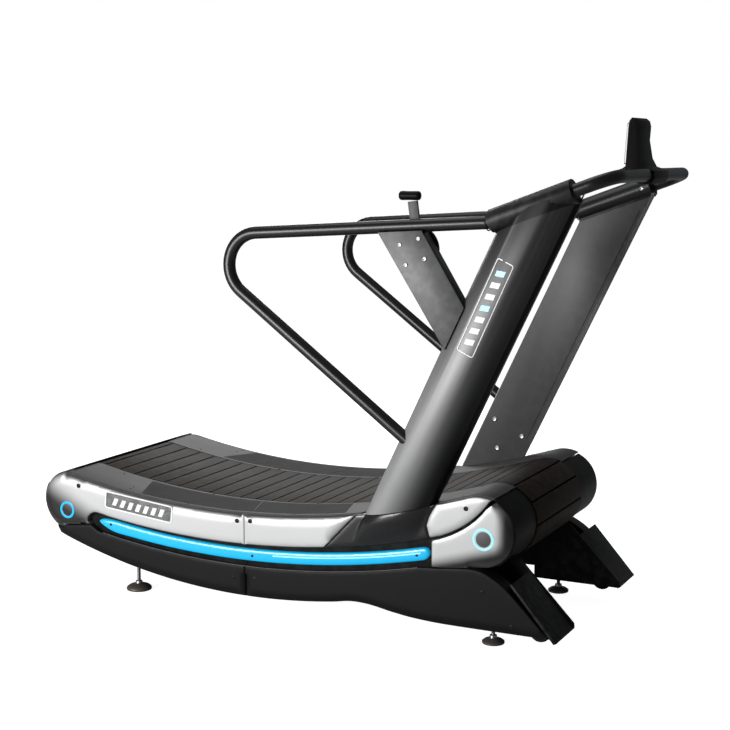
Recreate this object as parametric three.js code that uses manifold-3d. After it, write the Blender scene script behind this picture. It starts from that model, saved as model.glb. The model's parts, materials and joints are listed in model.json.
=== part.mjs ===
// Curved manual treadmill: a slat belt on a concave deck, driven by the runner's own feet.
// Millimetres, +Z up, +X forward (towards the console), +Y to the runner's left.
// While the pieces are made, X = 0 is the front axle and Z = 0 the floor. The last lines
// move the group so that its origin is the middle of its own base.
import * as THREE from "three";
import { mergeVertices } from "three/addons/utils/BufferGeometryUtils.js";
import Module from "manifold-3d";

const wasm = await Module();
wasm.setup();

// ---- driving dimensions -------------------------------------------------------------

// Deck and belt
const deckRadius = 2700; // concave walking surface, centre above
const deckLowX = -873; // where the walking surface is lowest
const deckLowZ = 331;
const axleDistance = 1468;
const frontWrapRadius = 114; // outer faces of the slats on the front pulleys
const rearWrapRadius = 95;
const bottomRadius = 3700; // sagging return run
const beltHalfWidth = 208;
const slatHeight = 22; // from the carrier's middle to the slat's face
const slatPitch = 60;
const slatWidth = 54;
const carrierHalf = 2; // half of the carrier's thickness
const beltEndGap = 0.8;

// Running gear
const shaftRadius = 15;
const bearingRadius = 31;
const bearingWidth = 18;
const pulleyHalfGauge = 170; // middle of each pulley's rim
const pulleyRimWidth = 46;
const flywheelRadius = frontWrapRadius - 42;
const flywheelThickness = 8;
const flywheelY = 302;
const yokePivotAngle = 165; // degrees round the front axle
const yokeEndAngle = 232;
const yokePinRadius = 5;

// Frame
const railInnerY = 228;
const railOuterY = 272;
const railTopDrop = 45; // below the walking surface
const railBottomDrop = 125;
const railWall = 4;
const bearingSeatRadius = 48;
const legInnerY = 230;
const legPlate = 6;
const legBottomZ = 58;

// Feet and wheels
const footY = 297;
const frontFootX = 10;
const rearFootFromAxle = 209;
const stemRadius = 6;
const frontPadRadius = 34;
const rearPadRadius = 42;
const wheelRadius = 33;
const wheelX = 160;
const wheelY = 300;
const wheelWidth = 26;
const wheelFloorGap = 28; // the wheels only touch the floor when the machine is tipped up

// Side covers
const fenderInnerY = 212;
const fenderOuterY = 386;
const fenderThickness = 4;
const coverInnerY = 340;
const coverOuterY = 397;
const coverWall = 3.5;
const coverTopDrop = 4.3;
const grooveDrop = 100; // lower edge of the upper covers, below the walking surface
const panelGap = 1.6;
const seamDegrees = 68; // round the front axle, where the fender meets the edge band
const edgeBandEnd = -60;
const splitX = -788;
const rearCoverRadius = rearWrapRadius + 5;
const endCapRadius = frontWrapRadius - 9;
const edgeBandRadius = frontWrapRadius - 5;
const edgeBandThickness = 2.5;
const rearBandClearance = 3;
const crossCoverStart = 99; // degrees round the rear axle
const crossCoverEnd = 240;
const channelOuterY = 380;
const stepRadius = 2870; // upper edge of the lower covers
const stepLowX = -818;
const stepLowZ = 162;
const skirtRadius = 2150; // lower edge of the lower covers
const skirtLowX = -788;
const skirtLowZ = 63;
const stripRadius = 2950;
const stripLowX = -838;
const stripLowZ = 198;
const stripHalf = 19.5;
const stripFromRearAxle = 118;
const stripFrontX = -159;
const stripOuterY = 392;

// Uprights
const uprightLean = THREE.MathUtils.degToRad(25.6); // leaning forward from vertical
const uprightFootX = -552.5; // rear edge carried down to the floor
const uprightDepth = 203; // measured level, front to back
const plateInnerY = 360;
const plateThickness = 11;
const plateBottomZ = 252;
const shellOuterY = 434;
const shellWall = 4;
const columnOuterY = 414;
const columnWall = 4;
const columnBottomZ = 450;
const columnStartX = 60;
const columnEndX = 142;

// Handrails, handlebar and sleeves
const railY = 400; // middle plane of the tubes on each side
const tubeRadius = 19;
const tubeWall = 2.5;
const tubeSides = 20;
const sleeveRadius = 32;
const sleeveBore = tubeRadius + 0.6;
const sleeveLength = uprightDepth + 54;
const sleeveTilt = THREE.MathUtils.degToRad(20);
const sleeveStart = new THREE.Vector2(26, 1256);
const handrailInsert = 45;
const handrailBend = 100;
const handrailRear = new THREE.Vector2(-1008, 1192); // where both legs of the bend would meet
const handrailBraceEnd = new THREE.Vector2(-210.5, 600); // against the column
const handlebarReach = sleeveLength + 116; // along the sleeve's axis to the crossbar
const handlebarBend = 72;
const handlebarInsert = 90;

// Console
const consoleHalfWidth = 76;
const buttonRadius = 8;
const buttonHeight = 5;

// Resistance lever
const leverPivot = new THREE.Vector2(-215, 1170);
const leverLean = THREE.MathUtils.degToRad(8);
const leverLength = 140;
const leverY = 352;
const leverThickness = 10;
const leverWidth = 30;
const housingRadius = 70;
const bracketInnerY = 375;
const bracketOuterY = 422;
const bracketWall = 4;
const knobLength = 66;
const knobRadius = 13.5;

const gap = 0.3; // kept between pieces that rest on each other
const roundSteps = 20;

// ---- finishes -----------------------------------------------------------------------

const finishes = {
  silver: { color: 0xb4b6ba, roughness: 0.32, metalness: 0.55 },
  charcoal: { color: 0x2e2f31, roughness: 0.42, metalness: 0.35 },
  upright: { color: 0x4a4c50, roughness: 0.38, metalness: 0.6 },
  black: { color: 0x0d0d0e, roughness: 0.35, metalness: 0.2 },
  frame: { color: 0x1a1b1c, roughness: 0.5, metalness: 0.4 },
  fender: { color: 0x63605d, roughness: 0.55, metalness: 0.1 },
  slat: { color: 0x2a211b, roughness: 0.75, metalness: 0.0 },
  bracket: { color: 0x6b6c6e, roughness: 0.45, metalness: 0.5 },
  cyan: { color: 0x00d3ff, roughness: 0.3, metalness: 0.0 },
  steel: { color: 0x9a9b9d, roughness: 0.3, metalness: 0.9 },
  rubber: { color: 0x151515, roughness: 0.9, metalness: 0.0 },
  screen: { color: 0x101418, roughness: 0.1, metalness: 0.0 },
};

// ---- solids -------------------------------------------------------------------------

const machine = new THREE.Group();

function solid(geometry) {
  const bare = new THREE.BufferGeometry();
  bare.setAttribute("position", geometry.getAttribute("position"));
  if (geometry.index) bare.setIndex(geometry.index);
  const merged = mergeVertices(bare, 1e-3);
  const corners = merged.index.array;
  const triangles = [];
  for (let i = 0; i < corners.length; i += 3) {
    const [a, b, c] = corners.slice(i, i + 3);
    if (a !== b && b !== c && c !== a) triangles.push(a, b, c);
  }
  const body = closedBody(merged, triangles);
  return body.volume() < 0 ? closedBody(merged, triangles.reverse()) : body;
}

function closedBody(merged, triangles) {
  return new wasm.Manifold(
    new wasm.Mesh({
      numProp: 3,
      vertProperties: merged.attributes.position.array,
      triVerts: new Uint32Array(triangles),
    }),
  );
}

const join = (...bodies) => bodies.reduce((sum, body) => sum.add(body));
const cut = (body, ...tools) => tools.reduce((rest, tool) => rest.subtract(tool), body);

function add(name, body, finish, mirrored = false) {
  const cuts = body.getMesh();
  const geometry = new THREE.BufferGeometry();
  geometry.setAttribute("position", new THREE.BufferAttribute(cuts.vertProperties, 3));
  geometry.setIndex(new THREE.BufferAttribute(cuts.triVerts, 1));
  geometry.computeVertexNormals();
  const mesh = new THREE.Mesh(geometry, new THREE.MeshStandardMaterial(finishes[finish]));
  mesh.name = name;
  if (mirrored) mesh.scale.y = -1;
  machine.add(mesh);
}

// Side pieces are drawn on the left, where Y is positive, and mirrored for the right.
function addPair(name, body, finish) {
  add(`${name}_left`, body, finish);
  add(`${name}_right`, body, finish, true);
}

const at = (x, z) => new THREE.Vector2(x, z);

// An outline in X and Z, carried along Y from one depth to another.
function slab(outline, fromY, toY, holes = []) {
  const shape = new THREE.Shape(outline);
  shape.holes = holes.map((hole) => new THREE.Path(hole));
  const geometry = new THREE.ExtrudeGeometry(shape, { depth: toY - fromY, bevelEnabled: false });
  geometry.rotateX(Math.PI / 2);
  geometry.translate(0, toY, 0);
  return solid(geometry);
}

function block(x0, x1, y0, y1, z0, z1) {
  const geometry = new THREE.BoxGeometry(x1 - x0, y1 - y0, z1 - z0);
  geometry.translate((x0 + x1) / 2, (y0 + y1) / 2, (z0 + z1) / 2);
  return solid(geometry);
}

function arc(centre, radius, fromDegrees, toDegrees, steps) {
  return Array.from({ length: steps + 1 }, (_, i) => {
    const angle = THREE.MathUtils.degToRad(fromDegrees + ((toDegrees - fromDegrees) * i) / steps);
    return at(centre.x + radius * Math.cos(angle), centre.y + radius * Math.sin(angle));
  });
}

function disc(centre, radius, fromY, toY, steps = roundSteps) {
  return slab(arc(centre, radius, 0, 360 - 360 / steps, steps - 1), fromY, toY);
}

// A profile of (radius, Y) points turned about a line along Y.
function turned(profile, x, z, steps = roundSteps) {
  const geometry = new THREE.LatheGeometry(profile, steps);
  geometry.translate(x, 0, z);
  return solid(geometry);
}

// A profile of (radius, Z) points turned about a vertical line.
function turnedUpright(profile, x, y, steps = roundSteps) {
  const geometry = new THREE.LatheGeometry(profile, steps);
  geometry.rotateX(Math.PI / 2);
  geometry.translate(x, y, 0);
  return solid(geometry);
}

// The outline moved inwards by a wall's thickness. Sharp corners move at most three walls.
function inset(outline, wall) {
  const turn = THREE.ShapeUtils.isClockWise(outline) ? -1 : 1;
  return outline.map((point, i) => {
    const before = outline[(i + outline.length - 1) % outline.length];
    const after = outline[(i + 1) % outline.length];
    const a = point.clone().sub(before).normalize();
    const b = after.clone().sub(point).normalize();
    const normal = at(-a.y - b.y, a.x + b.x).normalize().multiplyScalar(turn);
    const reach = Math.max(1 / 3, Math.abs(normal.dot(at(-a.y, a.x))));
    return point.clone().addScaledVector(normal, wall / reach);
  });
}

// A shallow moulding: an outer face with a wall all round, open towards the frame.
function moulding(outline, innerY, outerY, wall = coverWall) {
  const hollow = slab(inset(outline, wall), innerY - 1, outerY - wall);
  return cut(slab(outline, innerY, outerY), hollow);
}

// ---- the walking surface and the belt's path ----------------------------------------

const deckCentre = at(deckLowX, deckLowZ + deckRadius);

// Height of a curve that runs a given drop below the walking surface.
function deckZ(x, drop = 0) {
  return deckCentre.y - Math.sqrt((deckRadius + drop) ** 2 - (x - deckLowX) ** 2);
}

function deckCurve(fromX, toX, drop, steps) {
  return Array.from({ length: steps + 1 }, (_, i) => {
    const x = fromX + ((toX - fromX) * i) / steps;
    return at(x, deckZ(x, drop));
  });
}

function bowl(lowX, lowZ, radius, fromX, toX, steps, raise = 0) {
  return Array.from({ length: steps + 1 }, (_, i) => {
    const x = fromX + ((toX - fromX) * i) / steps;
    return at(x, lowZ + radius - Math.sqrt((radius - raise) ** 2 - (x - lowX) ** 2));
  });
}

function axleOn(x, wrapRadius) {
  return at(x, deckCentre.y - Math.sqrt((deckRadius + wrapRadius) ** 2 - (x - deckLowX) ** 2));
}

const frontAxle = axleOn(0, frontWrapRadius);
const rearAxle = axleOn(-axleDistance, rearWrapRadius);
const rearFootX = rearAxle.x + rearFootFromAxle;
const stripRearX = rearAxle.x + stripFromRearAxle;

// Places measured from either axle.
const fromFront = (x, z) => at(frontAxle.x + x, frontAxle.y + z);
const fromRear = (x, z) => at(rearAxle.x + x, rearAxle.y + z);

// Centre of the arc that touches both wraps from outside below.
function bottomCentre() {
  const toFront = bottomRadius - frontWrapRadius;
  const toRear = bottomRadius - rearWrapRadius;
  const span = frontAxle.clone().sub(rearAxle);
  const length = span.length();
  const along = (toRear ** 2 - toFront ** 2 + length ** 2) / (2 * length);
  const across = Math.sqrt(toRear ** 2 - along ** 2);
  const unit = span.divideScalar(length);
  return at(
    rearAxle.x + unit.x * along - unit.y * across,
    rearAxle.y + unit.y * along + unit.x * across,
  );
}

const returnCentre = bottomCentre();
const bearing = (from, to) => Math.atan2(to.y - from.y, to.x - from.x);

const backStep = THREE.MathUtils.degToRad(8); // finest turn of the carrier's inner face

// One stretch of belt: slats on a thin carrier, along an arc about a centre. The slats
// stand towards the centre on the concave top run and away from it elsewhere.
function beltRun(centre, neutral, inward, fromAngle, toAngle) {
  const count = Math.round((neutral * Math.abs(toAngle - fromAngle)) / slatPitch);
  const side = inward ? -1 : 1;
  const slatFace = neutral + side * slatHeight;
  const slatRoot = neutral + side * carrierHalf;
  const back = neutral - side * carrierHalf;
  const trim = (Math.sign(toAngle - fromAngle) * beltEndGap) / neutral;
  const first = fromAngle + trim;
  const last = toAngle - trim;
  const polar = (radius, angle) =>
    at(centre.x + radius * Math.cos(angle), centre.y + radius * Math.sin(angle));
  const step = (toAngle - fromAngle) / count;
  const faceHalf = (Math.sign(step) * slatWidth) / 2 / slatFace;
  const rootHalf = (Math.sign(step) * (slatWidth - 4)) / 2 / slatRoot;
  const outline = [polar(slatRoot, first)];
  for (let i = 0; i < count; i += 1) {
    const middle = fromAngle + step * (i + 0.5);
    outline.push(polar(slatRoot, middle - rootHalf));
    outline.push(polar(slatFace, middle - faceHalf));
    outline.push(polar(slatFace, middle + faceHalf));
    outline.push(polar(slatRoot, middle + rootHalf));
  }
  outline.push(polar(slatRoot, last));
  outline.push(polar(back, last));
  const backPoints = Math.max(1, Math.round(Math.abs(step) / backStep)) * count;
  for (let i = backPoints - 1; i > 0; i -= 1) {
    outline.push(polar(back, fromAngle + ((toAngle - fromAngle) * i) / backPoints));
  }
  outline.push(polar(back, first));
  return slab(outline, -beltHalfWidth, beltHalfWidth);
}

function makeBelt() {
  const full = 2 * Math.PI;
  const topFront = bearing(deckCentre, frontAxle);
  const topRear = bearing(deckCentre, rearAxle);
  const bottomFront = bearing(returnCentre, frontAxle);
  const bottomRear = bearing(returnCentre, rearAxle);
  const top = beltRun(deckCentre, deckRadius + slatHeight, true, topRear, topFront);
  const front = beltRun(
    frontAxle,
    frontWrapRadius - slatHeight,
    false,
    topFront + Math.PI,
    bottomFront,
  );
  const bottom = beltRun(
    returnCentre,
    bottomRadius - slatHeight,
    false,
    bottomFront,
    bottomRear,
  );
  const rear = beltRun(
    rearAxle,
    rearWrapRadius - slatHeight,
    false,
    bottomRear + full,
    topRear + Math.PI,
  );
  add("belt_top_run", top, "slat");
  add("belt_front_wrap", front, "slat");
  add("belt_bottom_run", bottom, "slat");
  add("belt_rear_wrap", rear, "slat");
}

// ---- running gear -------------------------------------------------------------------

// A shaft with two spoked-out pulleys pressed on it, as one turning.
function pulleyShaft(axle, rimRadius, rightEnd, leftEnd) {
  const rimIn = pulleyHalfGauge - pulleyRimWidth / 2;
  const rimOut = pulleyHalfGauge + pulleyRimWidth / 2;
  const web = 5;
  const hub = shaftRadius + 12;
  const rim = rimRadius - 10;
  const oneSide = [
    [shaftRadius, rimIn],
    [hub, rimIn],
    [hub, pulleyHalfGauge - web],
    [rim, pulleyHalfGauge - web],
    [rim, rimIn],
    [rimRadius, rimIn],
    [rimRadius, rimOut],
    [rim, rimOut],
    [rim, pulleyHalfGauge + web],
    [hub, pulleyHalfGauge + web],
    [hub, rimOut],
    [shaftRadius, rimOut],
  ];
  const mirrored = oneSide.map(([radius, y]) => [radius, -y]).reverse();
  const profile = [[0, -rightEnd], [shaftRadius, -rightEnd], ...mirrored, ...oneSide];
  profile.push([shaftRadius, leftEnd], [0, leftEnd]);
  return turned(
    profile.map(([radius, y]) => at(radius, y)),
    axle.x,
    axle.y,
  );
}

function ring(axle, inner, outer, fromY, toY) {
  const profile = [at(inner, fromY), at(outer, fromY), at(outer, toY), at(inner, toY)];
  return turned([...profile, profile[0]], axle.x, axle.y);
}

function makeRunningGear() {
  const flywheelOut = flywheelY + flywheelThickness / 2;
  const bearingIn = (railInnerY + railOuterY - bearingWidth) / 2;
  const bearingOut = bearingIn + bearingWidth;
  const shaftEnd = railOuterY + 3;
  const rimClearance = 0.5 + carrierHalf;
  const frontRim = frontWrapRadius - slatHeight - rimClearance;
  const rearRim = rearWrapRadius - slatHeight - rimClearance;
  add(
    "front_pulley_shaft",
    pulleyShaft(frontAxle, frontRim, flywheelOut + 8, shaftEnd),
    "steel",
  );
  add("rear_pulley_shaft", pulleyShaft(rearAxle, rearRim, shaftEnd, shaftEnd), "steel");
  const inner = shaftRadius + gap;
  addPair("front_bearing", ring(frontAxle, inner, bearingRadius, bearingIn, bearingOut), "steel");
  addPair("rear_bearing", ring(rearAxle, inner, bearingRadius, bearingIn, bearingOut), "steel");
  makeFlywheel(inner, flywheelOut);
}

function makeFlywheel(bore, outY) {
  const inY = outY - flywheelThickness;
  const hubRadius = 30;
  const hubIn = inY - 8;
  const profile = [
    at(bore, -outY),
    at(flywheelRadius, -outY),
    at(flywheelRadius, -inY),
    at(hubRadius, -inY),
    at(hubRadius, -hubIn),
    at(bore, -hubIn),
  ];
  add("brake_flywheel", turned([...profile, profile[0]], frontAxle.x, frontAxle.y, 36), "steel");
}

const yokePivot = at(
  frontAxle.x + (flywheelRadius + 12) * Math.cos(THREE.MathUtils.degToRad(yokePivotAngle)),
  frontAxle.y + (flywheelRadius + 12) * Math.sin(THREE.MathUtils.degToRad(yokePivotAngle)),
);

// A U-shaped carrier of magnets that straddles the flywheel's rim.
function makeYoke() {
  const bridge = flywheelRadius + 8;
  const outer = bridge + 6;
  const inner = flywheelRadius - 24;
  const sector = (from, to, r0, r1) => [
    ...arc(frontAxle, r1, from, to, 7),
    ...arc(frontAxle, r0, to, from, 7),
  ];
  const reachY = 14;
  const cheek = 5;
  const nearY = -flywheelY - reachY;
  const farY = -flywheelY + reachY;
  const start = yokePivotAngle + 6;
  const bodyOfYoke = join(
    slab(sector(start, yokeEndAngle, inner, outer), nearY, nearY + cheek),
    slab(sector(start, yokeEndAngle, inner, outer), farY - cheek, farY),
    slab(sector(yokePivotAngle + 1, yokeEndAngle, bridge, outer), nearY, farY),
    disc(yokePivot, 11, nearY, farY),
  );
  const clear = disc(frontAxle, bridge, nearY + cheek, farY - cheek, 30);
  const bore = disc(yokePivot, yokePinRadius + gap, nearY - 1, farY + 1);
  add("magnet_yoke", cut(bodyOfYoke, clear, bore), "steel");
}

// ---- frame --------------------------------------------------------------------------

const uprightSlope = Math.tan(uprightLean);
const uprightRearX = (z) => uprightFootX + z * uprightSlope;
const uprightFrontX = (z) => uprightRearX(z) + uprightDepth;

// Where a drop below the walking surface crosses the rear or front edge of an upright.
function uprightMeets(edge, drop) {
  let z = deckLowZ;
  for (let i = 0; i < 20; i += 1) z = deckZ(edge(z), drop);
  return at(edge(z), z);
}

function channelRail() {
  const rear = rearAxle.x;
  const front = frontAxle.x;
  const outline = [
    ...deckCurve(rear, front, railBottomDrop, 18),
    ...deckCurve(front, rear, railTopDrop, 18),
  ];
  const web = railInnerY + railWall;
  const beam = join(
    slab(outline, railInnerY, railOuterY),
    disc(frontAxle, bearingSeatRadius, railInnerY, railOuterY),
    disc(rearAxle, bearingSeatRadius, railInnerY, railOuterY),
  );
  const pocket = slab(
    [
      ...deckCurve(rear + 70, front - 150, railBottomDrop - 6, 18),
      ...deckCurve(front - 150, rear + 70, railTopDrop + 6, 18),
    ],
    web,
    railOuterY + 1,
  );
  return cut(beam, pocket);
}

const fenderTabs = [rearAxle.x + 88, rearAxle.x + 418, splitX + 168, frontAxle.x - 60];

// Tabs that carry the fender, and plates at both ends that carry the bent covers.
function railBrackets() {
  const tabs = fenderTabs.map((x) =>
    slab(
      [
        ...deckCurve(x - 20, x + 20, railTopDrop + 8, 1),
        ...deckCurve(x + 20, x - 20, fenderThickness + gap, 1),
      ],
      railInnerY + 10,
      railInnerY + 16,
    ),
  );
  const fan = (axle, radius, from, to) =>
    slab([...arc(axle, radius, from, to, 10), ...arc(axle, 40, to, from, 4)], 250, 256);
  const edgeSeat = edgeBandRadius - edgeBandThickness - gap;
  const tailSeat = rearWrapRadius + rearBandClearance - gap;
  return [...tabs, fan(frontAxle, edgeSeat, -58, 64), fan(rearAxle, tailSeat, 104, 250)];
}

// Upper screws as a place along X and a drop below the walking surface.
const upperScrews = [
  [rearAxle.x + 45, 30],
  [splitX - 26, 26.6],
  [splitX + 21, 24],
  [frontAxle.x - 41, 34.6],
].map(([x, drop]) => [x, deckZ(x, drop)]);
const lowerScrews = [
  [splitX - 41, 121],
  [splitX + 35, 126],
];

// Stand-offs behind each screw that holds a side cover.
function coverStandoffs() {
  const reach = coverOuterY - coverWall - gap;
  const upper = upperScrews.map(([x, z]) => {
    const low = Math.min(z, deckZ(x, railTopDrop + 12));
    const tab = block(x - 9, x + 9, railOuterY - 8, railOuterY + 8, low, z + 6);
    return join(tab, block(x - 6, x + 6, railOuterY - 8, reach, z - 6, z + 6));
  });
  const lower = lowerScrews.map(([x, z]) =>
    join(
      block(x - 4, x + 4, railOuterY - 8, coverInnerY - 1, z - 10, deckZ(x, railBottomDrop) + 8),
      block(x - 4, x + 4, coverInnerY - 3, reach, z - 10, z + 10),
    ),
  );
  return [...upper, ...lower];
}

const legToe = at(240, legBottomZ + 2);
const legKnee = fromFront(101, -137.8);

function frontLeg() {
  const plateOutline = [
    at(-52, frontAxle.y - 20),
    at(-52, legBottomZ),
    legToe,
    at(legToe.x - 1, legBottomZ + 17),
    legKnee,
    fromFront(68, -103.8),
    fromFront(30, -95.8),
    at(14, frontAxle.y - 20),
  ];
  const slope = legKnee.clone().sub(legToe).normalize();
  const back = at(-slope.y, slope.x).multiplyScalar(legPlate);
  const face = [
    legToe,
    legKnee,
    legKnee.clone().add(back),
    legToe.clone().add(back).add(at(-4, 0)),
  ];
  const foot = block(-52, legToe.x - 12, legInnerY, coverInnerY - 2, legBottomZ, legBottomZ + 6);
  return join(
    slab(plateOutline, legInnerY, legInnerY + legPlate),
    slab(face, legInnerY, coverOuterY - 1),
    foot,
  );
}

function makeFrame() {
  const bracketRear = uprightRearX(300) + 30;
  const bracketFront = bracketRear + 130;
  const bracketOut = plateInnerY - gap;
  const postBracket = block(bracketRear, bracketFront, railOuterY - 8, bracketOut, 262, 325);
  const bracketHollow = block(
    bracketRear + 5,
    bracketFront - 5,
    railOuterY,
    plateInnerY - 8,
    267,
    330,
  );
  const rearTop = deckZ(rearFootX, railBottomDrop) + 12;
  const rearLeg = block(rearFootX - 26, rearFootX + 26, railOuterY - 12, footY + 24, 142, rearTop);
  const stem = (x, fromZ, toZ) => {
    const radius = stemRadius + gap;
    const profile = [at(0, fromZ), at(radius, fromZ), at(radius, toZ), at(0, toZ)];
    return turnedUpright(profile, x, footY);
  };
  const pin = disc(yokePivot, yokePinRadius, railOuterY - 10, flywheelY + 16);
  const wheelSlot = block(
    wheelX - wheelRadius - 5,
    wheelX + wheelRadius + 5,
    wheelY - wheelWidth / 2 - 4,
    wheelY + wheelWidth / 2 + 4,
    legBottomZ - 10,
    legBottomZ + 7,
  );
  const hub = at(wheelX, wheelFloorGap + wheelRadius);
  const wheelPin = disc(hub, 6, legInnerY + 2, wheelY + wheelWidth / 2 + 8);
  const weldment = cut(
    join(
      channelRail(),
      frontLeg(),
      cut(postBracket, bracketHollow),
      rearLeg,
      pin,
      ...railBrackets(),
      ...coverStandoffs(),
    ),
    wheelSlot,
    stem(frontFootX, 40, 100),
    stem(rearFootX, 130, 215),
    disc(frontAxle, bearingRadius + gap, railInnerY - 1, railOuterY + 1),
    disc(rearAxle, bearingRadius + gap, railInnerY - 1, railOuterY + 1),
  );
  addPair("frame_rail", join(weldment, wheelPin), "frame");
  makeCrossMembers();
  makeGuideRails();
}

const guideRollerRadius = 13;
const guideRollerDrop = slatHeight + carrierHalf + 0.8 + guideRollerRadius;
const guideStripDrop = guideRollerDrop + 20;

function makeCrossMembers() {
  const reach = railInnerY - gap;
  const member = (x) => {
    const top = Math.min(deckZ(x - 30, guideStripDrop), deckZ(x + 30, guideStripDrop)) - gap;
    const bottom = deckZ(x, railBottomDrop - 8);
    const tube = block(x - 30, x + 30, -reach, reach, bottom, top);
    return cut(tube, block(x - 26, x + 26, -reach - 1, reach + 1, bottom + 4, top - 4));
  };
  add("front_cross_member", member(frontAxle.x - 260), "frame");
  add("rear_cross_member", member(rearAxle.x + 288), "frame");
}

// A strip of small rollers under each edge of the top run, bolted inside the rail.
function makeGuideRails() {
  const rollerCount = 12;
  const startX = rearAxle.x + 110;
  const endX = frontAxle.x - 130;
  const innerY = 186;
  const outline = [
    ...deckCurve(startX - 20, endX + 20, guideStripDrop, 18),
    ...deckCurve(endX + 20, startX - 20, guideRollerDrop - 6, 18),
  ];
  let strip = slab(outline, innerY + 22, railInnerY - gap);
  for (let i = 0; i < rollerCount; i += 1) {
    const x = startX + ((endX - startX) * i) / (rollerCount - 1);
    const axle = at(x, deckZ(x, guideRollerDrop));
    strip = join(strip, disc(axle, guideRollerRadius, innerY, innerY + 23, 10));
  }
  addPair("guide_roller_rail", strip, "steel");
}

// ---- feet and wheels ----------------------------------------------------------------

function levelingFoot(x, padRadius, domeHeight, topZ) {
  const profile = [
    at(0, 0),
    at(padRadius - 3, 0),
    at(padRadius, 3),
    at(padRadius, 8),
    at(padRadius * 0.72, domeHeight * 0.75),
    at(stemRadius + 5, domeHeight),
    at(stemRadius + 5, domeHeight + 8),
    at(stemRadius, domeHeight + 8),
    at(stemRadius, topZ),
    at(0, topZ),
  ];
  return turnedUpright(profile, x, footY);
}

function makeFeetAndWheels() {
  addPair("front_leveling_foot", levelingFoot(frontFootX, frontPadRadius, 18, 88), "steel");
  addPair("rear_leveling_foot", levelingFoot(rearFootX, rearPadRadius, 22, 195), "steel");
  const inY = wheelY - wheelWidth / 2;
  const outY = wheelY + wheelWidth / 2;
  const bore = 6 + gap;
  const profile = [
    at(bore, inY),
    at(wheelRadius - 4, inY),
    at(wheelRadius, inY + 5),
    at(wheelRadius, outY - 5),
    at(wheelRadius - 4, outY),
    at(bore, outY),
  ];
  const wheel = turned([...profile, profile[0]], wheelX, wheelFloorGap + wheelRadius);
  addPair("transport_wheel", wheel, "rubber");
}

// ---- fenders and covers -------------------------------------------------------------

// Degrees round each axle where the walking surface touches the wrap.
const frontTouch = THREE.MathUtils.radToDeg(bearing(frontAxle, deckCentre));
const rearTouch = THREE.MathUtils.radToDeg(bearing(rearAxle, deckCentre));

// A line a given drop below the walking surface and its wraps, from rear to front.
function deckLine(drop, rearDegrees, frontDegrees) {
  const rear = arc(rearAxle, rearWrapRadius - drop, rearDegrees, rearTouch, 3);
  const front = arc(frontAxle, frontWrapRadius - drop, frontTouch, frontDegrees, 5);
  const span = deckCurve(rear[3].x, front[0].x, drop, 20);
  return [...rear.slice(0, 3), ...span, ...front.slice(1)];
}

// The strip that the runner steps on beside the belt, notched round the upright's plate.
function makeFenders() {
  const outline = [
    ...deckLine(fenderThickness, 96, seamDegrees),
    ...deckLine(0, 96, seamDegrees).reverse(),
  ];
  const rearCut = uprightMeets(uprightRearX, fenderThickness).x - 2;
  const frontCut = uprightMeets(uprightFrontX, 0).x + 2;
  const notch = block(rearCut, frontCut, plateInnerY - 1.5, fenderOuterY + 1, 300, 520);
  addPair("fender", cut(slab(outline, fenderInnerY, fenderOuterY), notch), "fender");
  makeEdgeBands();
}

function makeEdgeBands() {
  const inner = edgeBandRadius - edgeBandThickness;
  const outline = [
    ...arc(frontAxle, edgeBandRadius, seamDegrees - 1, edgeBandEnd, 16),
    ...arc(frontAxle, inner, edgeBandEnd, seamDegrees - 1, 16),
  ];
  addPair("front_edge_band", slab(outline, fenderInnerY, fenderOuterY - 2), "black");
  const rearInner = rearWrapRadius + rearBandClearance;
  const rearOuter = rearInner + edgeBandThickness;
  const rearOutline = [
    ...arc(rearAxle, rearOuter, crossCoverStart, crossCoverEnd, 20),
    ...arc(rearAxle, rearInner, crossCoverEnd, crossCoverStart, 20),
  ];
  add("rear_cross_cover", slab(rearOutline, -coverInnerY + 2, coverInnerY - 2), "black");
}

const bezier = (a, b, c, steps) => new THREE.QuadraticBezierCurve(a, b, c).getPoints(steps);

// The leaf cover's rear edge: heights, and how far ahead of the upright it stands there.
const leafEdge = [
  [420, 11.3],
  [392, 3.7],
  [362, 8.1],
  [327, 35.8],
].map(([z, ahead]) => at(uprightFrontX(z) + ahead, z));

// Where the groove under the upper covers leaves the deck's curve and climbs to a point.
const grooveTurnX = leafEdge[3].x + 36;
const grooveTip = arc(frontAxle, frontWrapRadius - 7.2, 71.4, 71.4, 1)[0];

function grooveClimb(shift) {
  const start = at(grooveTurnX, deckZ(grooveTurnX, grooveDrop));
  const middle = at(grooveTurnX + 99, start.y + 38);
  return bezier(start, middle, grooveTip, 8).map((p) => at(p.x + shift, p.y - shift));
}

function rearSideCover() {
  const nose = [
    fromRear(88, -68),
    fromRear(77, -59),
    fromRear(78, -46),
    fromRear(91, -33),
    fromRear(111, -27),
  ];
  return [
    ...deckLine(coverTopDrop, 97, seamDegrees).filter((p) => p.x < splitX - 20).reverse(),
    ...arc(rearAxle, rearCoverRadius, 98, 236, 18),
    ...nose,
    ...deckCurve(rearAxle.x + 168, splitX - panelGap, grooveDrop, 10),
    at(splitX - panelGap, deckZ(splitX, coverTopDrop)),
  ];
}

const shroudFoot = () => at(-507, deckZ(-507, grooveDrop));
const shroudShoulder = () => at(-398, deckZ(-398, coverTopDrop));

function midSideCover() {
  const foot = shroudFoot();
  const shoulder = shroudShoulder();
  return [
    ...deckCurve(splitX, foot.x - panelGap, grooveDrop, 7),
    ...deckCurve(shoulder.x - panelGap, splitX, coverTopDrop, 9),
  ];
}

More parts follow.
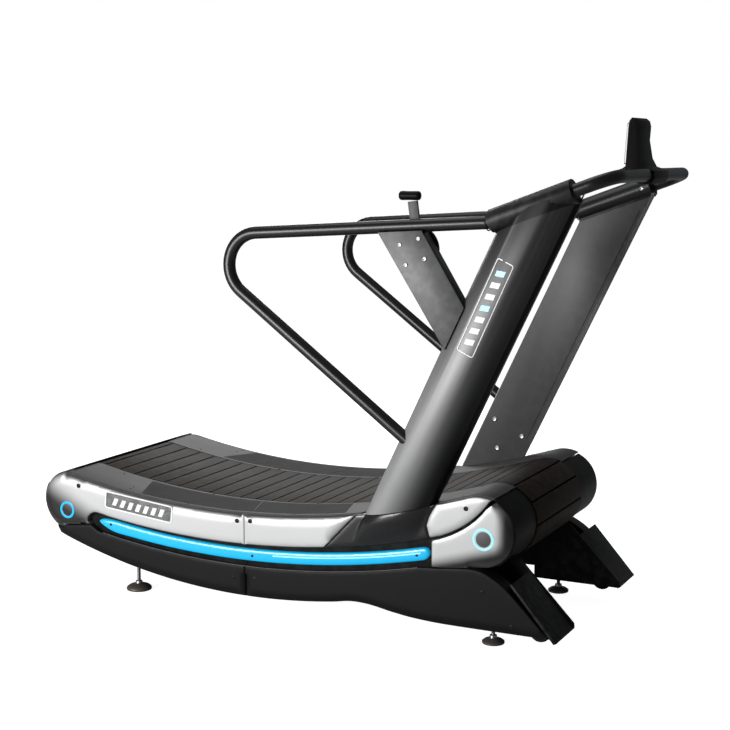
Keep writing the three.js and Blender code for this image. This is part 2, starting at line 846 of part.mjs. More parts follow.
function shroud() {
  const foot = shroudFoot();
  const shoulder = shroudShoulder();
  return [
    ...deckCurve(foot.x, leafEdge[3].x - panelGap, grooveDrop, 7),
    at(leafEdge[2].x - panelGap, leafEdge[2].y),
    at(leafEdge[1].x - panelGap, leafEdge[1].y),
    ...deckCurve(leafEdge[0].x - panelGap, shoulder.x, coverTopDrop, 5),
  ];
}

function leafCover() {
  return [
    ...leafEdge.slice(1, 3),
    ...deckCurve(leafEdge[3].x, grooveTurnX, grooveDrop, 2).slice(0, 2),
    ...grooveClimb(0),
    ...arc(frontAxle, frontWrapRadius - coverTopDrop, 74, frontTouch, 4),
    ...deckCurve(frontAxle.x - 50, leafEdge[0].x, coverTopDrop, 3),
  ];
}

function endCover() {
  const left = stripFrontX + 9;
  const grooveGap = 7;
  return [
    at(left, deckZ(left, grooveDrop) - grooveGap),
    ...grooveClimb(grooveGap / 2).slice(0, 8),
    ...arc(frontAxle, endCapRadius, 64, -90, 20),
    fromFront(-41, -107.3),
    fromFront(-118, -115.8),
    at(left, aboveStep(left)),
  ];
}

const bowlEndX = -188; // where the step line leaves its arc for the brow

// Height just over the straight that joins the step line's arc to the brow.
function aboveStep(x) {
  const start = bowl(stepLowX, stepLowZ, stepRadius, bowlEndX, bowlEndX, 1)[0];
  const end = brow()[0];
  const share = (x - start.x) / (end.x - start.x);
  return start.y + (end.y - start.y) * share + 2;
}

// The curved brow over the front foot, from the crest down to the toe.
function brow() {
  const crest = [
    fromFront(-120, -117.8),
    fromFront(-80, -112.8),
    fromFront(-41, -109.8),
    fromFront(-8, -110.8),
    fromFront(22, -118.8),
  ];
  const fall = [
    fromFront(66, -142.8),
    fromFront(97, -167.8),
    fromFront(128, -197.8),
    fromFront(160, -229.8),
    at(204, 80),
  ];
  return [...crest, ...fall];
}

function lowerFrontCover() {
  const outline = [
    ...bowl(stepLowX, stepLowZ, stepRadius, splitX, bowlEndX, 10),
    ...brow(),
    at(216, 66),
    at(-110, 66),
    at(-209, 71),
    at(-281, 80),
    at(-358, 93),
    ...bowl(skirtLowX, skirtLowZ, skirtRadius, -419, splitX, 6),
  ];
  const floor = [
    ...bowl(stepLowX, stepLowZ - 3, stepRadius, splitX, bowlEndX, 10),
    fromFront(-118, -120.8),
    fromFront(-41, -112.8),
    ...arc(frontAxle, endCapRadius - 4, -80, 64, 12),
    ...grooveClimb(2).reverse().slice(1),
    ...deckCurve(grooveTurnX - 20, splitX, grooveDrop + panelGap, 9),
  ];
  return join(moulding(outline.reverse(), coverInnerY, coverOuterY), channel(floor));
}

// The recessed floor that the light strip lies on, between the two rows of covers.
function channel(outline) {
  return slab(outline, channelOuterY - 4, channelOuterY);
}

function lowerRearCover() {
  const start = splitX - panelGap;
  const outline = [
    fromRear(-54, -87),
    fromRear(88, -70),
    ...bowl(stepLowX, stepLowZ, stepRadius, rearAxle.x + 123, start, 10),
    ...bowl(skirtLowX, skirtLowZ, skirtRadius, start, rearAxle.x - 12, 10),
    fromRear(-39, -112),
  ];
  const floor = [
    ...bowl(stepLowX, stepLowZ - 3, stepRadius, rearAxle.x + 128, start, 10),
    ...deckCurve(start, rearAxle.x + 168, grooveDrop + panelGap, 10),
    fromRear(128, -33),
  ];
  return join(moulding(outline, coverInnerY, coverOuterY), channel(floor));
}

function stripOutline() {
  const rearTip = bowl(stripLowX, stripLowZ, stripRadius, stripRearX, stripRearX, 1)[0];
  const frontTip = bowl(stripLowX, stripLowZ, stripRadius, stripFrontX, stripFrontX, 1)[0];
  const taper = 60;
  return [
    at(rearTip.x, rearTip.y + 3),
    at(rearTip.x + 12, rearTip.y - 9),
    ...bowl(stripLowX, stripLowZ - stripHalf, stripRadius, stripRearX + taper, stripFrontX - 18, 16),
    at(frontTip.x - 6, frontTip.y - 16),
    at(frontTip.x, frontTip.y - 5),
    at(frontTip.x, frontTip.y + 5),
    at(frontTip.x - 6, frontTip.y + 14),
    ...bowl(stripLowX, stripLowZ + stripHalf, stripRadius, stripFrontX - 18, stripRearX + taper, 16),
    at(rearTip.x + 16, rearTip.y + 10),
  ];
}

function makeCovers() {
  const deep = (outline) => moulding(outline, coverInnerY, coverOuterY);
  addPair("rear_side_cover", deep(rearSideCover()), "silver");
  addPair("mid_side_cover", deep(midSideCover()), "silver");
  addPair("upright_shroud", postGap(deep(shroud())), "charcoal");
  addPair("front_leaf_cover", deep(leafCover()), "silver");
  const endCap = moulding(endCover(), channelOuterY + gap, coverOuterY);
  addPair("front_end_cover", endCap, "silver");
  addPair("lower_rear_cover", lowerRearCover(), "charcoal");
  addPair("lower_front_cover", lowerFrontCover(), "charcoal");
  addPair("light_strip", slab(stripOutline(), channelOuterY + gap, stripOuterY), "cyan");
}

// Clears the upright's plate where it passes down through the top wall of the shroud.
function postGap(body) {
  const rear = uprightRearX(plateBottomZ) - 3;
  const front = uprightFrontX(460) + 3;
  const top = deckZ(front) + 10;
  const passage = block(rear, front, coverInnerY - 2, plateInnerY + plateThickness + 1.5, 200, top);
  return cut(body, passage);
}

// ---- uprights -----------------------------------------------------------------------

const sleeveAxis = at(Math.cos(sleeveTilt), Math.sin(sleeveTilt));
const onSleeve = (distance) => sleeveStart.clone().addScaledVector(sleeveAxis, distance);

function rodOnSleeve(radius, from, to, steps = roundSteps) {
  const geometry = new THREE.CylinderGeometry(radius, radius, to - from, steps);
  geometry.rotateZ(-Math.PI / 2);
  geometry.translate((from + to) / 2, 0, 0);
  geometry.rotateY(-sleeveTilt);
  geometry.translate(sleeveStart.x, railY, sleeveStart.y);
  return solid(geometry);
}

function makePosts() {
  const tip = onSleeve(sleeveLength);
  const under = at(sleeveAxis.y * sleeveRadius, -sleeveAxis.x * sleeveRadius);
  const plate = slab(
    [
      at(uprightRearX(plateBottomZ) + 8, plateBottomZ),
      at(uprightFrontX(plateBottomZ) - 60, plateBottomZ),
      uprightMeets(uprightFrontX, -2),
      tip.clone().add(under),
      tip,
      sleeveStart,
      sleeveStart.clone().add(under),
    ],
    plateInnerY,
    plateInnerY + plateThickness,
  );
  const columnTop = sleeveStart.y + 20;
  const lane = (inset0) => [
    at(uprightRearX(columnBottomZ) + columnStartX + inset0, columnBottomZ - (inset0 ? 1 : 0)),
    at(uprightRearX(columnBottomZ) + columnEndX - inset0, columnBottomZ - (inset0 ? 1 : 0)),
    at(uprightRearX(columnTop) + columnEndX - inset0, columnTop),
    at(uprightRearX(columnTop) + columnStartX + inset0, columnTop),
  ];
  const column = slab(lane(0), plateInnerY + plateThickness - 2, columnOuterY);
  const hollow = slab(
    lane(columnWall),
    plateInnerY + plateThickness + 2,
    columnOuterY - columnWall,
  );
  const post = cut(
    join(plate, cut(column, hollow), rodOnSleeve(sleeveRadius, 0, sleeveLength)),
    rodOnSleeve(sleeveBore, -1, sleeveLength + 1),
  );
  addPair("upright_post", post, "upright");
}

// Where the lower end of the handrail passes through the fairing to the column.
function braceHole() {
  const along = handrailBraceEnd.clone().sub(handrailRear).normalize();
  const radius = tubeRadius + 0.6;
  const geometry = new THREE.CylinderGeometry(radius, radius, 110, tubeSides);
  geometry.rotateZ(-Math.PI / 2);
  geometry.rotateY(-Math.atan2(along.y, along.x));
  geometry.translate(handrailBraceEnd.x - along.x * 45, railY, handrailBraceEnd.y - along.y * 45);
  return solid(geometry);
}

// A D-shaped fairing over the outer side of the post, sheared to the upright's lean.
function makeShells() {
  const innerY = plateInnerY + plateThickness + gap;
  const bow = shellOuterY - innerY;
  const half = uprightDepth / 2;
  const curve = (wall) =>
    Array.from({ length: 17 }, (_, i) => {
      const angle = Math.PI - (Math.PI * i) / 16;
      const squared = Math.sign(Math.cos(angle)) * Math.abs(Math.cos(angle)) ** 0.9;
      return at(half + (half - wall) * squared, innerY + (bow - wall) * Math.sin(angle));
    });
  const section = [...curve(0), ...curve(shellWall).reverse()];
  const top = sleeveStart.y + 120;
  const bottom = 330;
  const geometry = new THREE.ExtrudeGeometry(new THREE.Shape(section), {
    depth: top - bottom,
    bevelEnabled: false,
  });
  geometry.translate(uprightFootX, 0, bottom);
  geometry.applyMatrix4(new THREE.Matrix4().makeShear(0, 0, 0, 0, uprightSlope, 0));
  const sky = [
    onSleeve(-200),
    onSleeve(sleeveLength + 200),
    at(400, 1700),
    at(-300, 1700),
  ];
  const ground = [
    at(-600, 200),
    at(0, 200),
    ...deckCurve(0, -600, coverTopDrop - gap, 10),
  ];
  const shell = cut(
    solid(geometry),
    slab(sky, innerY - 5, shellOuterY + 5),
    slab(ground, innerY - 5, shellOuterY + 5),
    rodOnSleeve(sleeveRadius + 0.5, -60, sleeveLength + 60),
    braceHole(),
  );
  addPair("upright_shell", shell, "upright");
}

// ---- handrails and handlebar --------------------------------------------------------

// A path of stations, each a point and a direction, so that straights need no steps.
class Route extends THREE.Curve {
  constructor(stations) {
    super();
    this.stations = stations;
  }

  station(u) {
    return this.stations[Math.round(u * (this.stations.length - 1))];
  }

  getPointAt(u) {
    return this.station(u).point.clone();
  }

  getTangentAt(u) {
    return this.station(u).direction.clone();
  }
}

// Straight legs between corners, each corner rounded to its own radius.
function route(corners, radii, steps) {
  const direction = (a, b) => b.clone().sub(a).normalize();
  const stations = [{ point: corners[0], direction: direction(corners[0], corners[1]) }];
  for (let i = 1; i < corners.length - 1; i += 1) {
    const into = direction(corners[i - 1], corners[i]);
    const out = direction(corners[i], corners[i + 1]);
    const angle = into.angleTo(out);
    const radius = radii[i - 1];
    const tangent = radius * Math.tan(angle / 2);
    const start = corners[i].clone().addScaledVector(into, -tangent);
    const inward = out.clone().addScaledVector(into, -into.dot(out)).normalize();
    const centre = start.clone().addScaledVector(inward, radius);
    for (let s = 0; s <= steps[i - 1]; s += 1) {
      const a = (angle * s) / steps[i - 1];
      const point = centre.clone();
      point.addScaledVector(inward, -radius * Math.cos(a));
      point.addScaledVector(into, radius * Math.sin(a));
      const heading = into.clone().multiplyScalar(Math.cos(a));
      stations.push({ point, direction: heading.addScaledVector(inward, Math.sin(a)) });
    }
  }
  const last = corners.length - 1;
  stations.push({ point: corners[last], direction: direction(corners[last - 1], corners[last]) });
  return new Route(stations);
}

function tube(path) {
  const section = new THREE.Shape().absarc(0, 0, tubeRadius, 0, 2 * Math.PI);
  section.holes.push(new THREE.Path().absarc(0, 0, tubeRadius - tubeWall, 0, 2 * Math.PI));
  const geometry = new THREE.ExtrudeGeometry(section, {
    steps: path.stations.length - 1,
    curveSegments: tubeSides / 2,
    extrudePath: path,
    bevelEnabled: false,
  });
  return solid(geometry);
}

const lift = (point, y) => new THREE.Vector3(point.x, y, point.y);

function makeHandrails() {
  const path = route(
    [
      lift(onSleeve(handrailInsert), railY),
      lift(onSleeve(-6), railY),
      lift(handrailRear, railY),
      lift(handrailBraceEnd, railY),
    ],
    [60, handrailBend],
    [2, 8],
  );
  addPair("handrail", tube(path), "black");
}

function makeHandlebar() {
  const start = onSleeve(sleeveLength - handlebarInsert);
  const corner = onSleeve(handlebarReach);
  const path = route(
    [lift(start, railY), lift(corner, railY), lift(corner, -railY), lift(start, -railY)],
    [handlebarBend, handlebarBend],
    [5, 5],
  );
  add("handlebar", tube(path), "black");
}

// ---- console ------------------------------------------------------------------------

const crossbar = onSleeve(handlebarReach);

function makeConsole() {
  const x = (offset) => crossbar.x + offset;
  const z = (offset) => crossbar.y + offset;
  const outline = [
    at(x(-62), z(26)),
    at(x(-70), z(20)),
    at(x(-98), z(10)),
    at(x(-96), z(2)),
    at(x(-60), z(-8)),
    at(x(-22), z(-24)),
    at(x(14), z(-26)),
    at(x(26), z(-8)),
    at(x(24), z(12)),
    at(x(-10), z(24)),
    at(x(-14), z(48)),
    at(x(-7), z(95)),
    at(x(-3), z(140)),
    at(x(-8), z(156)),
    at(x(-22), z(164)),
    at(x(-36), z(165)),
    at(x(-46), z(156)),
    at(x(-50), z(135)),
  ];
  const body = slab(outline, -consoleHalfWidth, consoleHalfWidth);
  const barGap = disc(crossbar, tubeRadius + 0.5, -consoleHalfWidth - 1, consoleHalfWidth + 1);
  const face = (inner, outer) => [
    at(x(-62 + inner), z(34)),
    at(x(-62 - outer), z(34)),
    at(x(-50 - outer), z(146)),
    at(x(-50 + inner), z(146)),
  ];
  const seat = slab(face(4, 20), -consoleHalfWidth + 9, consoleHalfWidth - 9);
  const buttonBores = buttonPlaces().map((place) => buttonBody(place, 0.5, -6, 12));
  add("console_housing", cut(body, barGap, seat, ...buttonBores), "black");
  const glass = slab(face(3.6, 2), -consoleHalfWidth + 10, consoleHalfWidth - 10);
  add("console_screen", glass, "screen");
  buttonPlaces().forEach((place, i) => {
    add(i ? "stop_button" : "start_button", buttonBody(place, 0, -2.5, buttonHeight - 2), "silver");
  });
}

// The keys stand on the sloping lip under the screen.
const lipTilt = Math.atan2(10, 28);

function buttonPlaces() {
  return [-28, 28].map((y) => new THREE.Vector3(crossbar.x - 84, y, crossbar.y + 15));
}

function buttonBody(place, extra, from, to) {
  const geometry = new THREE.CylinderGeometry(
    buttonRadius + extra,
    buttonRadius + extra,
    to - from,
    20,
  );
  geometry.translate(0, (from + to) / 2, 0);
  geometry.rotateX(Math.PI / 2);
  geometry.rotateY(-lipTilt);
  geometry.translate(place.x, place.y, place.z);
  return solid(geometry);
}

// ---- resistance lever, on the right handrail ----------------------------------------

function handrailZ(x) {
  const start = onSleeve(-6);
  const slope = (start.y - handrailRear.y) / (start.x - handrailRear.x);
  return handrailRear.y + (x - handrailRear.x) * slope;
}

// A folded box strut between the handrail and the upright, open towards the upright.
function makeLeverBracket() {
  const topRear = -315;
  const topFront = -176;
  const runs = 200;
  const fall = 320;
  const seat = (x, below) => at(x, handrailZ(x) - below);
  const lowRear = at(topRear + runs, handrailZ(topRear) - fall);
  const lowFront = at(topFront + runs * 0.62, handrailZ(topFront) - fall * 0.66);
  const outline = [seat(topRear, 14), seat(topFront, 14), lowFront, lowRear];
  const faceY = bracketOuterY - bracketWall;
  const body = slab(outline, -bracketOuterY, -bracketInnerY);
  const hollow = slab(
    [
      seat(topRear + 6, 26),
      seat(topFront - 6, 26),
      lowFront.clone().add(at(-2, 0)),
      lowFront.clone().add(at(120, -80)),
      lowRear.clone().add(at(160, -60)),
      lowRear.clone().add(at(5, 8)),
    ],
    -faceY,
    -bracketInnerY - bracketWall,
  );
  add("lever_bracket", cut(body, hollow, handrailEnvelope(), uprightEnvelope()), "bracket");
}

// The room that the handrail takes where the bracket hangs from it.
function handrailEnvelope() {
  const from = lift(at(-500, handrailZ(-500)), -railY);
  const to = lift(at(-60, handrailZ(-60)), -railY);
  const geometry = new THREE.CylinderGeometry(
    tubeRadius + 0.5,
    tubeRadius + 0.5,
    from.distanceTo(to),
    36,
  );
  geometry.rotateZ(-Math.PI / 2);
  geometry.rotateY(-Math.atan2(to.z - from.z, to.x - from.x));
  geometry.translate((from.x + to.x) / 2, -railY, (from.z + to.z) / 2);
  return solid(geometry);
}

// The room that the upright takes behind its own rear edge, with a small gap.
function uprightEnvelope() {
  const rear = (z) => at(uprightRearX(z) - 1, z);
  return slab(
    [rear(700), at(400, 700), at(600, 1300), rear(1300)],
    -bracketOuterY - 20,
    -bracketInnerY + 20,
  );
}

function makeLever() {
  const housingOut = bracketInnerY - gap;
  const housingIn = leverY + leverThickness / 2 + 1.5;
  const pin = disc(leverPivot, 8, -housingOut, -leverY + leverThickness / 2 + 4);
  add(
    "lever_housing",
    join(disc(leverPivot, housingRadius, -housingOut, -housingIn, 48), pin),
    "black",
  );
  const up = at(-Math.sin(leverLean), Math.cos(leverLean));
  const side = at(up.y, -up.x).multiplyScalar(leverWidth / 2);
  const top = leverPivot.clone().addScaledVector(up, leverLength);
  const foot = leverPivot.clone().addScaledVector(up, 4);
  const bar = [
    foot.clone().sub(side),
    foot.clone().add(side),
    top.clone().add(side),
    top.clone().sub(side),
  ];
  const nearY = -leverY - leverThickness / 2;
  const farY = -leverY + leverThickness / 2;
  const arm = cut(
    join(slab(bar, nearY, farY), disc(leverPivot, 24, nearY, farY)),
    disc(leverPivot, 8 + gap, nearY - 1, farY + 1),
  );
  add("resistance_lever", arm, "bracket");
  makeKnob(top);
}

function makeKnob(top) {
  const half = knobLength / 2;
  const profile = [
    at(0, -half),
    at(knobRadius - 4, -half),
    at(knobRadius, -half + 4),
    at(knobRadius, half - 4),
    at(knobRadius - 4, half),
    at(0, half),
  ];
  const geometry = new THREE.LatheGeometry(profile, 24);
  geometry.rotateZ(-Math.PI / 2);
  const rise = Math.sin(leverLean) * (leverWidth / 2);
  geometry.translate(top.x - 9, -leverY, top.y + rise + knobRadius + gap);
  add("lever_knob", solid(geometry), "black");
}

// ---- the whole machine --------------------------------------------------------------

makeFrame();
makeBelt();
makeRunningGear();
makeYoke();
makeFeetAndWheels();
makeFenders();
makeCovers();
makePosts();
makeShells();
makeHandrails();
makeHandlebar();
makeConsole();
makeLeverBracket();
makeLever();

const bounds = new THREE.Box3().setFromObject(machine);
const middle = bounds.getCenter(new THREE.Vector3());
machine.position.set(-middle.x, -middle.y, -bounds.min.z);

export default machine;
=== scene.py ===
# Looks for the curved manual treadmill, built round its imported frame.
# Millimetres are measured from the front axle along X, from the middle plane along Y and
# from the floor along Z. The right side is where Y is negative.
import json
from math import atan2, cos, degrees, hypot, pi, radians, sin, sqrt, tan

import bmesh
import bpy
import numpy as np
from mathutils import Matrix, Vector, geometry

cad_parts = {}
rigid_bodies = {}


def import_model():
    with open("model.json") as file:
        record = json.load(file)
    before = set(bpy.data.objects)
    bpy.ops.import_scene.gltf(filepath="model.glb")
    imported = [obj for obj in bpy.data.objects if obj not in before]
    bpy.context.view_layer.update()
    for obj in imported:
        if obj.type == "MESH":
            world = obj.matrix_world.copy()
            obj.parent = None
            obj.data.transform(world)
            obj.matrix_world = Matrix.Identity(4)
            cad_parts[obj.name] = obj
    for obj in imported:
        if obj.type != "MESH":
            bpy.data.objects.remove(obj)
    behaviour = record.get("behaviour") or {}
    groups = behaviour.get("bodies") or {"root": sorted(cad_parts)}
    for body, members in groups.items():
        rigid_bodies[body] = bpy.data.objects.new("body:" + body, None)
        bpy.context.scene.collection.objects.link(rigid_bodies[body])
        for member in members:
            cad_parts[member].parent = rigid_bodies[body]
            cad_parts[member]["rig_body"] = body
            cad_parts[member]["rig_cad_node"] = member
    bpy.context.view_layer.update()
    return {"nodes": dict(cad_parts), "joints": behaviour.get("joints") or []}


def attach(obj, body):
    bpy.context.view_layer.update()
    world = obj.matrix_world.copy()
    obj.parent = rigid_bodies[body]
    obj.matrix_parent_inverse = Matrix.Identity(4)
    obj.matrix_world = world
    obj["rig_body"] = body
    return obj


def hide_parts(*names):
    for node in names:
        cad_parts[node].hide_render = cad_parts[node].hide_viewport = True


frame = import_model()
joints = {j["name"]: j for j in frame["joints"]}

MM = 0.001
SIDES = (("right", -1), ("left", 1))
front_axle = Vector(joints["front_drum_spin"]["pos_m"])
rear_axle = Vector(joints["rear_drum_spin"]["pos_m"])
deck_centre = Vector(joints["belt_travel"]["pos_m"])
return_centre = Vector(joints["belt_bottom_travel"]["pos_m"])
ORIGIN_X = front_axle.x / MM

REAR_X = rear_axle.x / MM - ORIGIN_X
FRONT_Z = front_axle.z / MM
REAR_Z = rear_axle.z / MM
DECK_X = deck_centre.x / MM - ORIGIN_X
DECK_Z = deck_centre.z / MM
RETURN_X = return_centre.x / MM - ORIGIN_X
RETURN_Z = return_centre.z / MM

FRONT_AXLE = (0.0, FRONT_Z)
REAR_AXLE = (REAR_X, REAR_Z)

DECK_RADIUS = 2700.0
FRONT_WRAP = 114.0
REAR_WRAP = 95.0
RETURN_RADIUS = 3700.0
SLAT_HEIGHT = 22.0
BELT_HALF = 208.0


# ---- curves in the side plane ----


def deck_z(x, drop=0.0):
    """The height of the walking surface, or of a line below it by drop."""
    return DECK_Z - sqrt((DECK_RADIUS + drop) ** 2 - (x - DECK_X) ** 2)


def bowl_z(x, low_x, low_z, radius):
    """The height of an arc that hangs lowest at low_x."""
    return low_z + radius - sqrt(radius**2 - (x - low_x) ** 2)


def step_z(x):
    """The top edge of the lower covers."""
    return bowl_z(x, -818, 162, 2870)


def strip_z(x, offset=0.0):
    """The lower edge of the upper covers, along the light strip."""
    return bowl_z(x, -838, 198 + offset, 2950)


def spread(start, end, count):
    return [start + (end - start) * i / (count - 1) for i in range(count)]


def deck_run(start, end, drop, count):
    return [(x, deck_z(x, drop)) for x in spread(start, end, count)]


def round_axle(centre, radius, angle):
    """X and Z of the point at a radius and an angle round a centre."""
    return centre[0] + radius * cos(angle), centre[1] + radius * sin(angle)


def arc(centre, radius, start, end, count):
    return [round_axle(centre, radius, radians(a)) for a in spread(start, end, count)]


FRONT_TOUCH = degrees(atan2(DECK_Z - FRONT_Z, DECK_X))
REAR_TOUCH = degrees(atan2(DECK_Z - REAR_Z, DECK_X - REAR_X))
SEAM = 68.0
REAR_SEAM = 96
DECK_STEPS = 90


def deck_line(drop, rear_angle, front_angle):
    """A line below the walking surface by drop, round both wraps, from rear to front."""
    rear = arc(REAR_AXLE, REAR_WRAP - drop, rear_angle, REAR_TOUCH, 8)
    front = arc(FRONT_AXLE, FRONT_WRAP - drop, FRONT_TOUCH, front_angle, 12)
    return rear[:-1] + deck_run(rear[-1][0], front[0][0], drop, DECK_STEPS) + front[1:]


UPRIGHT_FOOT = -552.5
UPRIGHT_DEPTH = 203.0
LEAN_ANGLE = radians(25.6)
LEAN = tan(LEAN_ANGLE)


def upright_rear(z):
    """Where the rear edge of the upright stands at a height."""
    return UPRIGHT_FOOT + z * LEAN


SLEEVE_TILT = radians(20)
SLEEVE_FOOT = (26, 1256)


def on_sleeve(distance):
    """X and Z along the handlebar sleeve, from its rear end."""
    return round_axle(SLEEVE_FOOT, distance, SLEEVE_TILT)


HANDRAIL_REAR = (-1008.0, 1192.0)
SLEEVE_END = 257
BAR_REACH = 373
RAIL_Y = 400
RAIL_RADIUS = 19

END_ROUNDING = 1.2
SAME_PLACE = 1e-6
WELD = 2e-6
CAD_WELD = 5e-6

# ---- meshes ----


def point(x, y, z):
    return Vector(((ORIGIN_X + x) * MM, y * MM, z * MM))


def show(obj):
    bpy.context.scene.collection.objects.link(obj)


def piece(name, shape, finish, body="machine", smooth=40.0, replaces=(), slot=None):
    """A closed mesh from (points in millimetres, faces), riding on a body."""
    verts, faces = shape
    mesh = bpy.data.meshes.new(name)
    mesh.from_pydata([point(*v) for v in verts], [], faces)
    obj = bpy.data.objects.new(name, mesh)
    show(obj)
    return settle(obj, finish, body, smooth, replaces, slot)


def settle(obj, finish, body, smooth, replaces, slot, weld=WELD):
    """Cleans and shades a mesh, then gives it its finish and body, and hides the nodes it
    replaces; slot is not used.
    """
    bm = bmesh.new()
    bm.from_mesh(obj.data)
    bmesh.ops.remove_doubles(bm, verts=bm.verts, dist=weld)
    bmesh.ops.dissolve_degenerate(bm, edges=bm.edges, dist=SAME_PLACE)
    bmesh.ops.recalc_face_normals(bm, faces=bm.faces)
    limit = radians(smooth)
    for face in bm.faces:
        face.smooth = True
    for edge in bm.edges:
        if len(edge.link_faces) == 2:
            edge.smooth = edge.calc_face_angle(0) < limit
    bm.to_mesh(obj.data)
    bm.free()
    obj.data.materials.clear()
    for each in finish if isinstance(finish, list) else [finish]:
        obj.data.materials.append(each)
    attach(obj, body)
    if replaces:
        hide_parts(*replaces)
    return obj


def bevelled(obj, width, segments):
    """Rounds the mesh's sharp edges for good."""
    modifier = obj.modifiers.new("round", "BEVEL")
    modifier.width = width * MM
    modifier.segments = segments
    modifier.limit_method = "ANGLE"
    modifier.angle_limit = radians(30.0)
    modifier.use_clamp_overlap = True
    modifier.harden_normals = False
    graph = bpy.context.evaluated_depsgraph_get()
    made = bpy.data.meshes.new_from_object(obj.evaluated_get(graph))
    obj.modifiers.clear()
    obj.data = made


def dressed(node, finish, width, segments, slot, name, smooth=32.0):
    """A frame node's own shape with rounded edges, standing for the node."""
    source = frame["nodes"][node]
    obj = source.copy()
    obj.data = source.data.copy()
    obj.name = name
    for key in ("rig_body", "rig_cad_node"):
        if key in obj:
            del obj[key]
    obj.parent = None
    obj.matrix_world = Matrix.Identity(4)
    show(obj)
    bm = bmesh.new()
    bm.from_mesh(obj.data)
    bmesh.ops.remove_doubles(bm, verts=bm.verts, dist=CAD_WELD)
    bmesh.ops.dissolve_limit(bm, angle_limit=radians(1.0), verts=bm.verts, edges=bm.edges)
    bm.to_mesh(obj.data)
    bm.free()
    obj.data.materials.clear()
    bevelled(obj, width, segments)
    return settle(obj, finish, source["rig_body"], smooth, (node,), slot, SAME_PLACE)


def merged(parts):
    """Several (verts, faces) lists as one."""
    verts, faces = [], []
    for v, f in parts:
        base = len(verts)
        verts += v
        faces += [[i + base for i in face] for face in f]
    return verts, faces


def rings(sections, closed_path=False):
    """A skin over sections that all hold the same number of points."""
    count = len(sections[0])
    verts = [v for section in sections for v in section]
    faces = []
    steps = len(sections) if closed_path else len(sections) - 1
    for i in range(steps):
        a, b = i * count, ((i + 1) % len(sections)) * count
        for j in range(count):
            k = (j + 1) % count
            faces.append([a + j, a + k, b + k, b + j])
    if not closed_path:
        faces.append(list(range(count))[::-1])
        last = (len(sections) - 1) * count
        faces.append([last + j for j in range(count)])
    return verts, faces


def slab(outline, y0, y1):
    """An outline in X and Z carried along Y."""
    return rings([[(x, y0, z) for x, z in outline], [(x, y1, z) for x, z in outline]])


def square_to(axis, guess):
    """Two directions square to an axis, the first of them as near the guess as can be."""
    u = (guess - axis * guess.dot(axis)).normalized()
    return u, axis.cross(u)


def sweep(path, radius, sides):
    """A round bar along points in X, Y, Z, with a slightly rounded end edge."""
    points = [Vector(p) for p in path]
    frames = []
    up = None
    for i, p in enumerate(points):
        a = points[max(0, i - 1)]
        b = points[min(len(points) - 1, i + 1)]
        along = (b - a).normalized()
        if up is None:
            up = Vector((0, 1, 0)) if abs(along.y) < 0.9 else Vector((0, 0, 1))
        up, across = square_to(along, up)
        frames.append((p, up, across))

    def loop(p, u, v, r, shift=Vector()):
        turns = [2 * pi * j / sides for j in range(sides)]
        return [tuple(p + shift + (u * cos(t) + v * sin(t)) * r) for t in turns]

    first = (points[1] - points[0]).normalized()
    last = (points[-1] - points[-2]).normalized()
    soft = END_ROUNDING
    sections = [loop(*frames[0], radius - soft)]
    sections.append(loop(*frames[0], radius, first * soft))
    sections += [loop(*f, radius) for f in frames[1:-1]]
    sections.append(loop(*frames[-1], radius, -last * soft))
    sections.append(loop(*frames[-1], radius - soft))
    return rings(sections)


def bend_path(corners, radii, steps=14):
    """Straight legs with rounded corners, as points in X, Y, Z."""
    points = [Vector(c) for c in corners]
    path = [points[0]]
    for i in range(1, len(points) - 1):
        into = (points[i] - points[i - 1]).normalized()
        out = (points[i + 1] - points[i]).normalized()
        angle = into.angle(out)
        radius = radii[i - 1]
        reach = radius * tan(angle / 2)
        start = points[i] - into * reach
        inward = (out - into * into.dot(out)).normalized()
        centre = start + inward * radius
        for s in range(steps + 1):
            a = angle * s / steps
            path.append(centre - inward * radius * cos(a) + into * radius * sin(a))
    path.append(points[-1])
    return path


def lathe(profile, place, axis, sides=40):
    """A profile of (radius, distance) turned about an axis through place."""
    axis = Vector(axis).normalized()
    u, v = square_to(axis, Vector((0, 0, 1)) if abs(axis.z) < 0.9 else Vector((1, 0, 0)))
    base = Vector(place)
    verts, faces = [], []
    index = []
    for radius, along in profile:
        if radius < SAME_PLACE:
            index.append([len(verts)] * sides)
            verts.append(tuple(base + axis * along))
            continue
        start = len(verts)
        index.append([start + j for j in range(sides)])
        for j in range(sides):
            t = 2 * pi * j / sides
            verts.append(tuple(base + axis * along + (u * cos(t) + v * sin(t)) * radius))
    for a, b in zip(index, index[1:]):
        for j in range(sides):
            k = (j + 1) % sides
            face = []
            for corner in (a[j], a[k], b[k], b[j]):
                if corner not in face:
                    face.append(corner)
            if len(face) > 2:
                faces.append(face)
    return verts, faces


def softened(profile, radius=1.0):
    """A lathe profile with its corners cut."""
    out = [profile[0]]
    for before, here, after in zip(profile, profile[1:], profile[2:]):
        a = Vector(here) - Vector(before)
        b = Vector(after) - Vector(here)
        cut_a = min(radius, a.length * 0.45)
        cut_b = min(radius, b.length * 0.45)
        start = Vector(here) - a.normalized() * cut_a
        end = Vector(here) + b.normalized() * cut_b
        middle = (start + end + Vector(here) * 2) / 4
        out += [tuple(start), tuple(middle), tuple(end)]
    out.append(profile[-1])
    return [tuple(p) for p in out]


# ---- crowned mouldings ----


